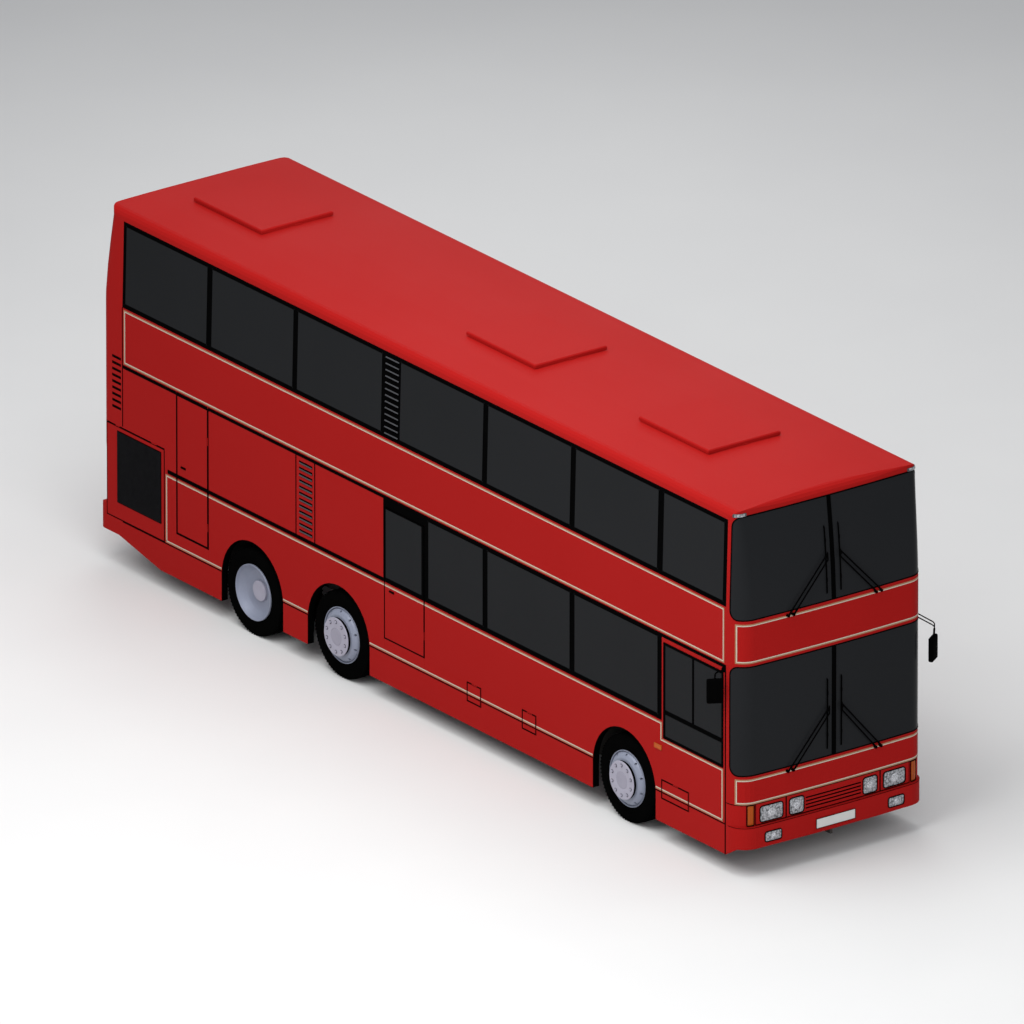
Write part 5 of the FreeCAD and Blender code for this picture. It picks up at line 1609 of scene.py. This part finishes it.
@dataclass
class FrontFittings(Assembly):
    """Lamps, grille, number plate, joints, wipers and mirrors of the front."""

    head: Lamp = Lamp(0.82, 0.686, 0.31, 0.194, 0.04, 0.05)
    inner: Lamp = Lamp(0.49, 0.686, 0.202, 0.2, 0.04, 0.045)
    fog: Lamp = Lamp(0.82, 0.428, 0.226, 0.125, 0.03, 0.03)
    indicator: Lamp = Lamp(1.085, 0.698, 0.09, 0.245, 0.015)
    bumper: EndSkin = EndSkin(5.54, 5.825, 0.219, ((0.0, 0.0), (0.1, 0.0)))
    plate_x: float = 5.831

    def build(self) -> None:
        """Make every fitting."""
        self.lamps()
        self.grille()
        self.joints()
        self.wipers()
        self.mirrors()
        self.markers()

    def lamps(self) -> None:
        """Head, inner, fog and indicator lamps with bezels and fluted lenses."""
        lenses, bezels, ambers, bowls = Batch(), Batch(), Batch(), Batch()
        rim, lift = 0.006, 0.0085
        for lamp, skin, batch in (
            (self.head, FRONT, lenses), (self.inner, FRONT, lenses),
            (self.fog, self.bumper, lenses), (self.indicator, FRONT, ambers),
        ):
            low, high = lamp.z - lamp.up / 2, lamp.z + lamp.up / 2
            for side in SIDES:
                near, far = sorted(
                    skin.along(side * (lamp.y + half * lamp.across / 2), lamp.z) for half in SIDES
                )
                batch.add(lens(skin, (near + rim, far - rim), (low + rim, high - rim),
                               lamp.corner))
                # Bright reflector dish under the lens: painted reflection.
                if lamp.bowl:
                    middle, size = (near + far) / 2, lamp.bowl
                    bowls.add(lens(skin, (middle - size, middle + size),
                                   (lamp.z - size, lamp.z + size), size, lift))
                bezels.add(ring(skin.at, (near, far), (low, high), lamp.corner, 0.011,
                                (-0.012, 0.006), 0.03))
        self.fit("lamp_lenses", lenses, LENS, degrees=LENS_DEGREES, stands_for=["headlamps"])
        self.fit("lamp_reflectors", bowls, REFLECTOR, degrees=LENS_DEGREES)
        self.fit("lamp_bezels", bezels)
        for side in reversed(SIDES):
            surface = side_surface(side)
            ambers.add(ring(surface, (4.272, 4.402), (1.049, 1.104), 0.006, 0.005, (0.0, 0.01)))
            ambers.add(slab(surface, (4.277, 4.397), (1.054, 1.099), (0.0, 0.008), 0.02))
        self.fit("indicator_lenses", ambers, AMBER, degrees=LENS_DEGREES, stands_for=["amber_lamps"])

    def grille(self) -> None:
        """Dark liners in the grille slots and the bare number plate."""
        first, pitch, reach = 0.612, 0.04, 0.369
        lows = [first + index * pitch for index in range(4)]
        self.fit("grille_slots", Batch(*(
            slab(FRONT.at, (-reach, reach), (low + 0.001, low + 0.017), (-0.02, -0.003), 0.06)
            for low in lows
        )))
        flat = self._plate_surface
        self.fit("front_plate", Batch(slab(flat, (-0.26, 0.26), (0.37, 0.481), (0.0, 0.002))),
                 PLATE)
        edge = ring(flat, (-0.262, 0.262), (0.368, 0.483), 0.008, 0.006, (0.0, 0.004), 0.3)
        self.fit("front_plate_edge", Batch(edge))

    def _plate_surface(self, y: float, z: float, proud: float) -> Vector:
        """Flat face of the front number plate."""
        return Vector((self.plate_x + proud, y, z))

    def joints(self) -> None:
        """Black joints of the lamp panel and above the bumper."""
        reach, proud = FRONT.edge(0.7), (-0.001, 0.0015)
        lines = Batch(
            slab(FRONT.at, (-reach, reach), (0.814, 0.8215), proud, FRONT_STEP),
            slab(FRONT.at, (-1.02, 1.02), (0.571, 0.581), proud, FRONT_STEP),
        )
        for side in SIDES:
            for y, width in ((0.627, 0.015), (1.025, 0.009)):
                s = FRONT.along(side * y, 0.7)
                lines.add(slab(FRONT.at, (s - width / 2, s + width / 2), (0.575, 0.818), proud,
                               FRONT_STEP))
        lines.add(slab(self.bumper.at, (-reach, reach), (0.5605, 0.5665), (-0.001, 0.0012),
                       FRONT_STEP))
        self.fit("front_joints", lines)

    def wipers(self) -> None:
        """Pantograph wipers: two arms each from the sill to an upright blade."""
        parts = Batch()
        for side in SIDES:
            for sill, elbow, blade in ((1.11, 1.72, (1.25, 2.04)), (2.895, 3.47, (3.03, 3.77))):
                self._wiper(parts, side, sill, elbow, blade)
        self.fit("wiper_sets", parts, stands_for=["wipers"])

    @staticmethod
    def _wiper(parts: Batch, side: int, sill: float, elbow: float, blade: Pair) -> None:
        """Add one wiper.

        Args:
            parts: Batch that takes it.
            side: 1 for the nearside, -1 for the offside.
            sill: Height of its pivots.
            elbow: Height where the arms meet the blade.
            blade: Limits of the blade in height.
        """

        def at(y: float, z: float, proud: float) -> Vector:
            """Point in front of the glass."""
            return FRONT.at(side * y, z, proud)

        def link(y: Pair, z: Pair, proud: Pair, radius: float) -> Shape:
            """Straight round bar in front of the glass."""
            return tube([at(*end) for end in zip(y, z, proud)], radius, 10)

        arm, hub, middle = 0.008, 0.093, 0.036
        for y, top in ((0.62, elbow), (0.55, elbow - 0.07)):
            foot = at(y, sill, 0.03)
            knee = at(y - 0.05, sill + 0.06, 0.034)
            parts.add(tube([at(y, sill, -0.004), foot + Vector((0.004, 0, 0))], 0.017, 16))
            parts.add(tube([foot, knee], 0.011, 10))
            parts.add(tube([knee, at(0.09, top, middle)], arm, 10))
        parts.add(link((0.085, 0.085), (elbow - 0.075, elbow + 0.02), (middle, middle), arm))
        parts.add(link((hub, hub), (elbow - 0.03, elbow - 0.03), (0.04, 0.016), 0.009))
        low, high = blade
        steps = 14
        spine = [at(hub, low + (high - low) * i / steps, 0.017) for i in range(steps + 1)]
        parts.add(tube(spine, 0.0055, 8))
        parts.add(slab(at, (0.0905, 0.0955), (low - 0.01, high + 0.01), (0.001, 0.014), 0.06))
        for share in (0.2, 0.8):
            z = low + (high - low) * share
            parts.add(slab(at, (0.086, 0.1), (z - 0.02, z + 0.02), (0.01, 0.022), 0.06))

    def mirrors(self) -> None:
        """Mirror heads with glass on bent arms."""
        heads, panes = [], Batch()
        half = (0.029, 0.089, 0.139)
        for name, place, yaw in (
            ("near_head", (5.731, 1.37, 2.03), 34.6), ("off_head", (5.5, -1.37, 2.115), -29.1),
        ):
            turn = Matrix.Translation(place) @ Matrix.Rotation(math.radians(yaw), 4, "Z")
            head = rounded_block(name, [-v for v in half], half, 0.02, 4)
            head.data.transform(turn)
            heads.append(dress(head, BLACK))

            def face(y: float, z: float, proud: float, turn: Matrix = turn) -> Vector:
                """Point on the mirror's glass."""
                return turn @ Vector((-half[0] - proud, y, z))

            panes.add(slab(face, (-0.074, 0.074), (-0.124, 0.124), (-0.002, 0.0008), 0.2))
        near, off, bow = (5.623, 1.176, 2.445), (5.512, -1.252, 2.338), 0.03
        arms = Batch(*(
            tube(bent_path([(5.623, 1.18, 2.445 + lift), (5.76, 1.368, 2.31 + lift),
                            (5.747, 1.37, 2.17)], bow), 0.0068)
            for lift in (0.02, -0.02)
        ))
        arms.add(tube([(5.752, 1.37, 2.26), (5.744, 1.37, 2.165)], 0.012))
        arms.add(tube(bent_path([off, (5.502, -1.366, 2.32), (5.5, -1.37, 2.25)], bow), 0.009))
        for base in (near, off):
            out = Vector((0.55, math.copysign(0.83, base[1]), 0.0)) * 0.01
            arms.add(tube([Vector(base) - out, Vector(base) + out], 0.03, 20))
        body = smooth(join("mirror_heads", heads + [arms.build("arms", BLACK)]))
        self.hand_over(body, BLACK.slot, stands_for=["mirrors"])
        self.fit("mirror_panes", panes, MIRROR)

    def markers(self) -> None:
        """Small marker lamps on the roof's front corners."""
        lamps, bases = Batch(), Batch()
        for side in SIDES:
            s = FRONT.along(side * 1.15, 4.09)
            lamps.add(slab(self._brow, (s - 0.06, s + 0.06), (4.101, 4.131), (-0.004, 0.01), 0.02))
            bases.add(ring(self._brow, (s - 0.08, s + 0.08), (4.097, 4.135), 0.012, 0.02,
                           (-0.008, 0.007), 0.02))
        self.fit("marker_lamps", lamps, LENS, degrees=60)
        self.fit("marker_bases", bases, SLAT)

    @staticmethod
    def _brow(s: float, z: float, proud: float) -> Vector:
        """Point on the roof's rounded front edge."""
        point = FRONT.at(s, 4.099, proud - corner_inset(ROOF_TOP - z, 0.092))
        return Vector((point.x, point.y, z))


@dataclass(frozen=True)
class Bank:
    """Column of louvres on both sides: recesses with a slat in each."""

    name: str
    count: int
    pitch: float
    x: Pair
    first: float
    opening: Pair
    proud: float
    start: tuple[float, float, float]
    size: tuple[float, float, float]
    turn: float
    lean: float = 0.0


@dataclass
class Louvres(Assembly):
    """Louvre banks of the sides, the engine flaps' grilles and the rear grille."""

    banks: tuple[Bank, ...] = (
        Bank("upper_slats", 13, 0.0725, (-0.582, -0.334), 3.124, (-0.024, 0.026), 0.0015,
             (-0.458, 1.2508, 3.118), (0.236, 0.011, 0.014), 0.55, 0.00182),
        Bank("lower_slats", 12, 0.072, (-2.127, -1.888), 1.497, (-0.016, 0.017), 0.0012,
             (-2.0075, 1.2525, 1.489), (0.23, 0.008, 0.013), 0.6),
    )
    flap_x: Pair = (-5.446, -4.654)
    flap_z: Pair = (0.772, 1.592)
    flap_ribs: int = 44

    def build(self) -> None:
        """Make every bank."""
        bars = bar_row(SLAT)
        slats: list[bpy.types.Object] = []
        backs = Batch()
        for side in SIDES:
            for bank in self.banks:
                x, y, z = bank.start
                for index in range(bank.count):
                    height = bank.first + index * bank.pitch
                    span = (height + bank.opening[0], height + bank.opening[1])
                    backs.add(slab(side_surface(side), bank.x, span, (-0.001, bank.proud)))
                slats.append(bars.bake(
                    bank.name, Count=bank.count, Start=(x, side * y, z),
                    Step=(0.0, -side * bank.lean, bank.pitch), Size=bank.size,
                    Turn=(side * bank.turn, 0.0, 0.0)))
            self._quarter_slots(backs, side)
        self.fit("louvre_recesses", backs)
        self.hand_over(join("louvre_slats", slats), SLAT.slot)
        self.flap_grilles()
        self.rear_grille(bars)

    @staticmethod
    def _quarter_slots(backs: Batch, side: int) -> None:
        """Add the slots of one rear quarter to the recesses.

        Args:
            backs: Batch of the recesses.
            side: 1 for the nearside, -1 for the offside.
        """
        first, pitch, inset, length = 1.867, 0.0726, 0.03, 0.16
        for index in range(9):
            z = first + index * pitch
            s = REAR.edge(z) - inset
            ends = sorted((side * s, side * (s - length)))
            backs.add(slab(REAR.at, ends, (z - 0.016, z + 0.014), (-0.001, 0.0012), 0.03))

    def flap_grilles(self) -> None:
        """Framed grilles of upright ribs in the engine flaps."""
        ribs_row = bar_row(GRILLE)
        (aft, fore), (low, high), rim = self.flap_x, self.flap_z, 0.008
        pitch = (fore - aft) / self.flap_ribs
        for side in SIDES:
            word = SIDE_WORDS[side]
            surface = side_surface(side)
            back = Batch(
                ring(surface, (aft - rim, fore + rim), (low - rim, high + rim), 0.01, 0.01,
                     (-0.001, 0.004), 0.5),
                slab(surface, (aft, fore), (low, high), (-0.001, 0.001)),
            )
            ribs = ribs_row.bake(
                "ribs", Count=self.flap_ribs,
                Start=(aft + pitch / 2, side * 1.2545, (low + high) / 2),
                Step=(pitch, 0.0, 0.0), Size=(pitch * 0.45, 0.007, 0.818),
                Turn=(0.0, 0.0, side * 0.35))
            grille = join("flap_grille_" + word, [back.build("back", BLACK), ribs])
            self.hand_over(grille, GRILLE.slot, "engine_flap_" + word)

    def rear_grille(self, bars: Repeat) -> None:
        """Slatted air outlet in the engine door.

        Args:
            bars: Tree that makes the slats.
        """
        back = Batch(
            slab(REAR.at, (-0.78, 0.78), (0.98, 1.38), (-0.001, 0.001), 0.1),
            ring(REAR.at, (-0.79, 0.79), (0.97, 1.39), 0.012, 0.012, (-0.001, 0.005), 0.1),
        )
        slats = bars.bake(
            "outlet_slats", Count=12, Start=(-5.7515, 0.0, 1.004), Step=(-0.0022, 0.0, 0.032),
            Size=(0.008, 1.55, 0.016), Turn=(0.0, -0.5, 0.0))
        grille = join("rear_outlet", [back.build("back", BLACK), slats])
        self.hand_over(grille, SLAT.slot, "engine_door")


@dataclass
class Wheels(Assembly):
    """Tyres and rims of the six wheel positions."""

    radius: float = 0.495
    width: float = 0.276
    rim: float = 0.318
    single_depth: float = 0.127
    twin_depth: float = 0.137
    hub_face: float = 0.208
    single_track: float = 1.08
    twin_track: float = 1.105
    twin_spacing: float = 0.317
    nut_ring: float = 0.172

    def build(self) -> None:
        """Make one wheel of each kind and set copies on the hubs."""
        tyre, single, twin = self.tyre(), self.single_rim(), self.twin_rim()
        for side, word in SIDE_WORDS.items():
            turn = Matrix.Identity(4) if side > 0 else Matrix.Rotation(math.pi, 4, "Z")
            for axle, x in AXLES.items():
                body, twins = f"wheel_{axle}_{word}", axle == "rear"
                track = self.twin_track if twins else self.single_track
                hub = Matrix.Translation((x, side * track, self.radius)) @ turn
                rim = twin if twins else single
                self.set_copy(rim, f"{axle}_rim_{word}_detail", hub, SILVER, body,
                              f"{axle}_rim_{word}")
                if twins:
                    inner = Matrix.Translation((0.0, -side * self.twin_spacing, 0.0)) @ hub
                    self.set_copy(tyre, f"rear_outer_tyre_{word}", hub, TYRE, body,
                                  f"rear_tyres_{word}")
                    self.set_copy(tyre, f"rear_inner_tyre_{word}", inner, TYRE, body)
                else:
                    self.set_copy(tyre, f"{axle}_tyre_{word}_detail", hub, TYRE, body,
                                  f"{axle}_tyre_{word}")
        for pattern in (tyre, single, twin):
            discard(pattern)

    def set_copy(
        self, pattern: bpy.types.Object, name: str, place: Matrix, finish: Finish, body: str,
        *nodes: str,
    ) -> None:
        """Set a copy of a wheel part on its hub.

        Args:
            pattern: The part at the origin.
            name: Piece name.
            place: Where it goes.
            finish: Its main finish.
            body: Body that it rides on.
            nodes: CAD nodes that it stands for.
        """
        mesh = pattern.data.copy()
        mesh.transform(place)
        self.hand_over(linked(name, mesh), finish.slot, body, nodes)

    def tyre(self) -> bpy.types.Object:
        """Tyre with a ribbed tread, rounded shoulders and bulging sidewalls.

        Returns:
            The tyre at the origin, with its outer face towards +Y.
        """
        half = self.width / 2
        profile = [
            (self.rim + 0.0005, half - 0.02), (0.331, half - 0.008), (0.345, half - 0.009),
            (0.372, half - 0.003), (0.4, half), (0.425, half - 0.001), (0.45, half - 0.005),
            (0.472, half - 0.012), (0.484, half - 0.018), (0.491, half - 0.027), (0.494, 0.104),
        ]
        floor = 0.483
        for groove in (0.085, 0.03):
            profile += [
                (0.4948, groove + 0.006), (floor, groove + 0.0045), (floor, groove - 0.0045),
                (self.radius, groove - 0.006),
            ]
        profile += [(radius, -out) for radius, out in reversed(profile)]
        parts = [Batch(lathe(profile, ROUND_STEPS)).build("carcass", TYRE, 30)]
        lugs = tread_circle(TYRE)
        for out in (0.112, -0.112):
            parts.append(lugs.bake("lugs", Count=72, Circle=0.4846, Size=(0.014, 0.013, 0.024),
                                   Centre=(0.0, out, 0.0)))
        return join("tyre_pattern", parts)

    def disc(self) -> bpy.types.Object:
        """Conical disc of a single wheel, with its rim and round vents.

        Returns:
            The disc at the origin.
        """
        depth = self.single_depth
        outline = rounded_outline([
            (0.317, 0.0), (0.317, depth + 0.002), (0.312, depth + 0.004), (0.306, depth),
            (0.304, depth - 0.026), (0.297, depth - 0.026), (0.294, depth - 0.004),
            (0.277, depth + 0.016), (0.242, depth + 0.036), (0.2, depth + 0.04),
            (0.2, depth + 0.022), (0.24, depth + 0.014), (0.262, depth), (0.282, depth - 0.03),
            (0.282, 0.0),
        ], 0.005)
        body = Batch(lathe(outline, RIM_STEPS)).build("disc", SILVER, 40)
        vents, circle, cutter = NUTS, 0.276, Batch()
        for index in range(vents):
            angle = 2 * math.pi * (index + 0.5) / vents
            centre = Vector((circle * math.cos(angle), 0.0, circle * math.sin(angle)))
            reach = [centre + Vector((0, out, 0)) for out in (0.08, 0.3)]
            cutter.add(tube(reach, 0.0135, 14))
        tool = cutter.build("cutter", BLACK)
        cut = body.modifiers.new("vents", "BOOLEAN")
        cut.object = tool
        cut.solver = "EXACT"
        smooth(bake_modifiers(body), 40)
        discard(tool)
        return body

    def single_rim(self) -> bpy.types.Object:
        """Rim with a vented conical disc and a proud hub plate with its nuts.

        Returns:
            The rim at the origin, with its outer face towards +Y.
        """
        face = self.hub_face
        back, bore, edge = face - 0.011, 0.0975, 0.2175
        # Black drum inside the rim, showing through the vents and at the disc's foot, and black core
        # behind the hub plate, showing in the gap round it: painted shade.
        inside = Batch(
            lathe([(0.0, -0.10), (0.316, -0.10), (0.316, -0.02), (0.303, 0.0), (0.3, 0.098),
                   (0.278, 0.098), (0.2, 0.12), (0.0, 0.12)], ROUND_STEPS),
            lathe([(0.0, 0.11), (0.21, 0.11), (0.21, face - 0.006), (0.0, face - 0.006)],
                  ROUND_STEPS),
        )
        plate = Batch(lathe(rounded_outline([
            (bore, face - 0.003), (bore, back), (edge, back), (edge, face - 0.003),
            (0.2115, face),
        ], 0.003), RIM_STEPS))
        hub = Batch(lathe(rounded_outline([
            (0.0, back), (0.0972, back), (0.0972, face - 0.0035), (0.09, face - 0.0025),
            (0.0, face - 0.0025),
        ], 0.003), ROUND_STEPS))
        parts = [
            self.disc(), inside.build("inside", BLACK, 30), plate.build("plate", HUB_GREY, 40),
            hub.build("hub", HUB_END, 40),
        ]
        nuts, shadows = nut_circle(HUB_GREY), nut_circle(BLACK)
        for tree, name, sides, radius, height, out in (
            (nuts, "washers", 24, 0.0148, 0.004, 0.0006), (nuts, "hexes", 6, 0.0128, 0.01, 0.004),
            (shadows, "shadows", 24, 0.0202, 0.0012, 0.0),
            (nuts, "studs", 12, 0.0062, 0.006, 0.01),
        ):
            parts.append(tree.bake(
                name, Count=NUTS, Circle=self.nut_ring, Sides=sides, Radius=radius,
                Height=height, Centre=(0.0, face + out, 0.0)))
        return join("single_rim_pattern", parts)

    def twin_rim(self) -> bpy.types.Object:
        """Deep dished rim of the twin wheels with the hub end in its floor.

        Returns:
            The rim at the origin, with its outer face towards +Y.
        """
        depth = self.twin_depth
        floor = depth - 0.107
        dish = Batch(lathe(rounded_outline([
            (0.0, -0.42), (0.316, -0.42), (0.316, -0.2), (0.3175, depth + 0.002),
            (0.312, depth + 0.004), (0.308, depth - 0.004), (0.301, depth - 0.03),
            (0.275, depth - 0.062), (0.238, depth - 0.098), (0.2, floor), (0.0, floor),
        ], 0.012, 6), RIM_STEPS))
        hub = Batch(lathe(rounded_outline([
            (0.0, floor - 0.01), (0.119, floor - 0.01), (0.117, floor + 0.02),
            (0.112, floor + 0.027), (0.0, floor + 0.027),
        ], 0.004), ROUND_STEPS))
        return join("twin_rim_pattern",
                    [dish.build("dish", SILVER, 40), hub.build("hub", HUB_GREY, 40)])


@dataclass
class DoorsAndRear(Assembly):
    """Entrance door, door handles and everything on the rear face."""

    plate_half: float = 0.26

    def build(self) -> None:
        """Make the fittings of the doors and of the rear."""
        self.entrance()
        self.handles()
        self.emergency_surround()
        self.rear_window()
        self.rear_lamps()
        self.engine_door()

    def entrance(self) -> None:
        """Black frame, middle rail and grab handle of the entrance door."""
        surface, door = side_surface(1), "passenger_door"
        self.fit("entrance_door_frame", Batch(
            ring(surface, (4.584, 5.43), (0.358, 2.298), 0.03, 0.016, (-0.004, 0.004), 0.4),
            slab(surface, (4.596, 5.418), (1.17, 1.21), (-0.004, 0.003)),
        ), body=door)
        x, wall, out = 4.556, 1.249, 1.285
        path = bent_path([(x, wall, 1.02), (x, out, 1.04), (x, out, 1.3), (x, wall, 1.32)], 0.02)
        self.fit("entrance_door_grip", Batch(tube(path, 0.009)), CHROME, door)

    def handles(self) -> None:
        """Recessed handles of the emergency and service doors."""
        wide, high, bar_y = 0.0445, 0.013, -1.258
        for body, x, z in (("emergency_door", -0.4515, 1.31), ("service_door", -4.242, 1.54)):
            level, pivot = z + 0.003, x + 0.03
            self.fit(body + "_handle", Batch(
                slab(side_surface(-1), (x - wide, x + wide), (z - high, z + high),
                     (-0.001, 0.0015)),
                tube([(x - 0.036, bar_y, level), (pivot, bar_y, level)], 0.0055),
                tube([(pivot, -1.249, level), (pivot, -1.262, level)], 0.008),
            ), body=body)

    def emergency_surround(self) -> None:
        """Black upper part of the emergency door round its window, and its upper hinge barrel."""
        surface, depth = side_surface(-1), (-0.0005, 0.0012)
        x, z = (-0.579, 0.129), (1.394, 2.261)
        pane_x, pane_z = (-0.56, 0.087), (1.45, 2.24)
        paint = Batch(
            slab(surface, (x[0], pane_x[0]), z, depth),
            slab(surface, (pane_x[1], x[1]), z, depth),
            slab(surface, pane_x, (z[0], pane_z[0]), depth),
            slab(surface, pane_x, (pane_z[1], z[1]), depth),
            tube([(0.135, -1.25, 1.9645), (0.135, -1.25, 2.0355)], 0.0053),
        )
        self.fit("emergency_door_band", paint, body="emergency_door")

    def rear_window(self) -> None:
        """Glass and seal of the rear window."""
        self.refine(GLASS, "rear_glass")
        seal = ring(REAR.at, (-0.968, 0.968), (3.162, 3.908), 0.05, 0.02, (-0.004, 0.005), 0.06)
        self.fit("rear_window_seal", Batch(seal))

    def rear_lamps(self) -> None:
        """Lamp clusters of the rear corners, with bars between their cells."""
        reds, ambers, clears, bezels = Batch(), Batch(), Batch(), Batch()
        rim = 0.006
        for side in SIDES:
            near, far = sorted(REAR.along(side * y, 1.2) for y in (1.05, 1.15))
            for batch, low, high in ((reds, 0.875, 1.055), (clears, 1.06, 1.145),
                                     (ambers, 1.15, 1.245), (reds, 1.25, 1.425)):
                batch.add(lens(REAR, (near + 0.004, far - 0.004), (low, high), 0.01))
            bezels.add(ring(REAR.at, (near - rim, far + rim), (0.864, 1.436), 0.016, 0.011,
                            (-0.012, 0.007)))
            for low in (1.0565, 1.1465, 1.2465):
                bezels.add(slab(REAR.at, (near, far), (low - 0.001, low + 0.003),
                                (-0.01, 0.005), 0.03))
        self.fit("rear_red_lenses", reds, RED_LENS, degrees=LENS_DEGREES, stands_for=["rear_lamps"])
        self.fit("rear_amber_lenses", ambers, AMBER, degrees=LENS_DEGREES)
        self.fit("rear_clear_lenses", clears, LENS, degrees=LENS_DEGREES)
        self.fit("rear_lamp_bezels", bezels)

    def engine_door(self) -> None:
        """Bare number plate and catches of the engine door."""
        door, half = "engine_door", self.plate_half
        plate = slab(self._door_surface, (-half, half), (0.79, 0.901), (-0.002, 0.004), 0.2)
        self.fit("rear_plate", Batch(plate), PLATE, door)
        self.fit("engine_door_catches", Batch(*(
            slab(REAR.at, (y - 0.05, y + 0.05), (0.745, 0.77), (-0.001, 0.006), 0.05)
            for y in (-0.62, 0.62)
        )), body=door)

    @staticmethod
    def _door_surface(y: float, z: float, proud: float) -> Vector:
        """Flat band just clear of the engine door's bowed, leaning face."""
        return Vector((REAR.at(0.0, z, proud).x, y, z))


@dataclass
class Interior(Assembly):
    """Seats, floors and the plain parts under the body."""

    def build(self) -> None:
        """Dress what shows through open doors and from below."""
        self.keep(FLOORING, "lower_floor", "upper_floor", "stairs")
        self.keep(LINER, "bulkheads", "cab_fittings")
        self.keep(CHASSIS, "chassis_frame", "cross_members", "axle_beams", "engine", "tanks",
                  "wheelhouses", "knuckle_left", "knuckle_right")
        self.seats()

    def seats(self) -> None:
        """Upholstered seats: a crowned copy of the CAD pairs."""
        merged = self.merged("seats")
        bmesh.ops.bevel(
            merged, geom=merged.edges[:], offset=0.028, segments=3, profile=0.6, affect="EDGES",
            clamp_overlap=True,
        )
        pads = dress(smooth(from_bmesh("seat_pads", merged), 50), FABRIC)
        self.hand_over(pads, FABRIC.slot, stands_for=["seats"])


@dataclass(frozen=True)
class SoftLamp:
    """Large square lamp of the studio."""

    name: str
    place: tuple[float, float, float]
    size: float
    watts: float


@dataclass
class Studio:
    """Camera, floor and soft light."""

    azimuth: float = 53.4
    elevation: float = 21.64
    centre: Vector = Vector((0.019, 0.012, 2.092))
    frame_width: float = 11.012
    focal: float = 1600.0
    sensor: float = 36.0
    clip: Pair = (10.0, 2000.0)
    lamps: tuple[SoftLamp, ...] = (
        SoftLamp("key", (3.0, -9.0, 15.0), 14.0, 2300.0),
        SoftLamp("top", (0.0, 0.5, 17.0), 14.0, 1080.0),
        SoftLamp("fill", (16.5, -6.5, 7.5), 9.0, 720.0),
        SoftLamp("back", (-14.0, 10.0, 12.0), 10.0, 560.0),
    )
    aim: Vector = Vector((0.0, 0.0, 1.8))
    sky: tuple[float, float, float, float] = (0.93, 0.95, 1.0, 1.0)
    sky_strength: float = 0.42
    floor_half: float = 150.0

    def build(self) -> None:
        """Set up the view, the floor and the lights."""
        self.camera()
        self.floor()
        for lamp in self.lamps:
            self.light(lamp)
        world = bpy.data.worlds.new("studio")
        world.use_nodes = True
        background = world.node_tree.nodes["Background"]
        background.inputs["Color"].default_value = self.sky
        background.inputs["Strength"].default_value = self.sky_strength
        bpy.context.scene.world = world
        bpy.context.scene.view_settings.view_transform = "Standard"

    def camera(self) -> None:
        """Long-lens camera at the photograph's viewing angle."""
        around, above = math.radians(self.azimuth), math.radians(self.elevation)
        back = Vector((
            math.sin(around) * math.cos(above), -math.cos(around) * math.cos(above),
            math.sin(above),
        ))
        camera = bpy.data.cameras.new("camera")
        camera.lens = self.focal
        camera.sensor_width = self.sensor
        camera.clip_start, camera.clip_end = self.clip
        distance = self.frame_width / 2 / (self.sensor / 2 / self.focal)
        holder = linked("camera", camera)
        self._point(holder, self.centre + back * distance, -back)
        bpy.context.scene.camera = holder

    @staticmethod
    def _point(holder: bpy.types.Object, place: Vector, along: Vector) -> None:
        """Set an object somewhere, looking along a direction.

        Args:
            holder: The camera or a lamp.
            place: Where it stands.
            along: Where it looks.
        """
        holder.location = place
        holder.rotation_mode = "QUATERNION"
        holder.rotation_quaternion = along.to_track_quat("-Z", "Y")

    def floor(self) -> None:
        """Pale floor."""
        half = self.floor_half
        corners = ((-half, -half), (half, -half), (half, half), (-half, half))
        plane = new_object("studio_floor", [(x, y, 0.0) for x, y in corners], [(0, 1, 2, 3)])
        dress(plane, PALE_FLOOR)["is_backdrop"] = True

    def light(self, lamp: SoftLamp) -> None:
        """Soft lamp that points at the coach.

        Args:
            lamp: Its place, size and power.
        """
        data = bpy.data.lights.new(lamp.name, "AREA")
        data.size = lamp.size
        data.energy = lamp.watts
        place = Vector(lamp.place)
        self._point(linked(lamp.name, data), place, self.aim - place)


def main() -> None:
    """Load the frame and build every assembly."""
    logging.basicConfig(level=logging.INFO, format="%(message)s")
    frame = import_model()
    Studio().build()
    for assembly in (Bodywork, Glazing, FrontFittings, Louvres, Wheels, DoorsAndRear, Interior):
        LOG.info("building %s", assembly.__name__)
        assembly(frame).build()
    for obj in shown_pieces():
        if not obj.data.materials:
            LOG.warning("%s has no finish", obj.name)


if __name__ == "__main__":
    main()
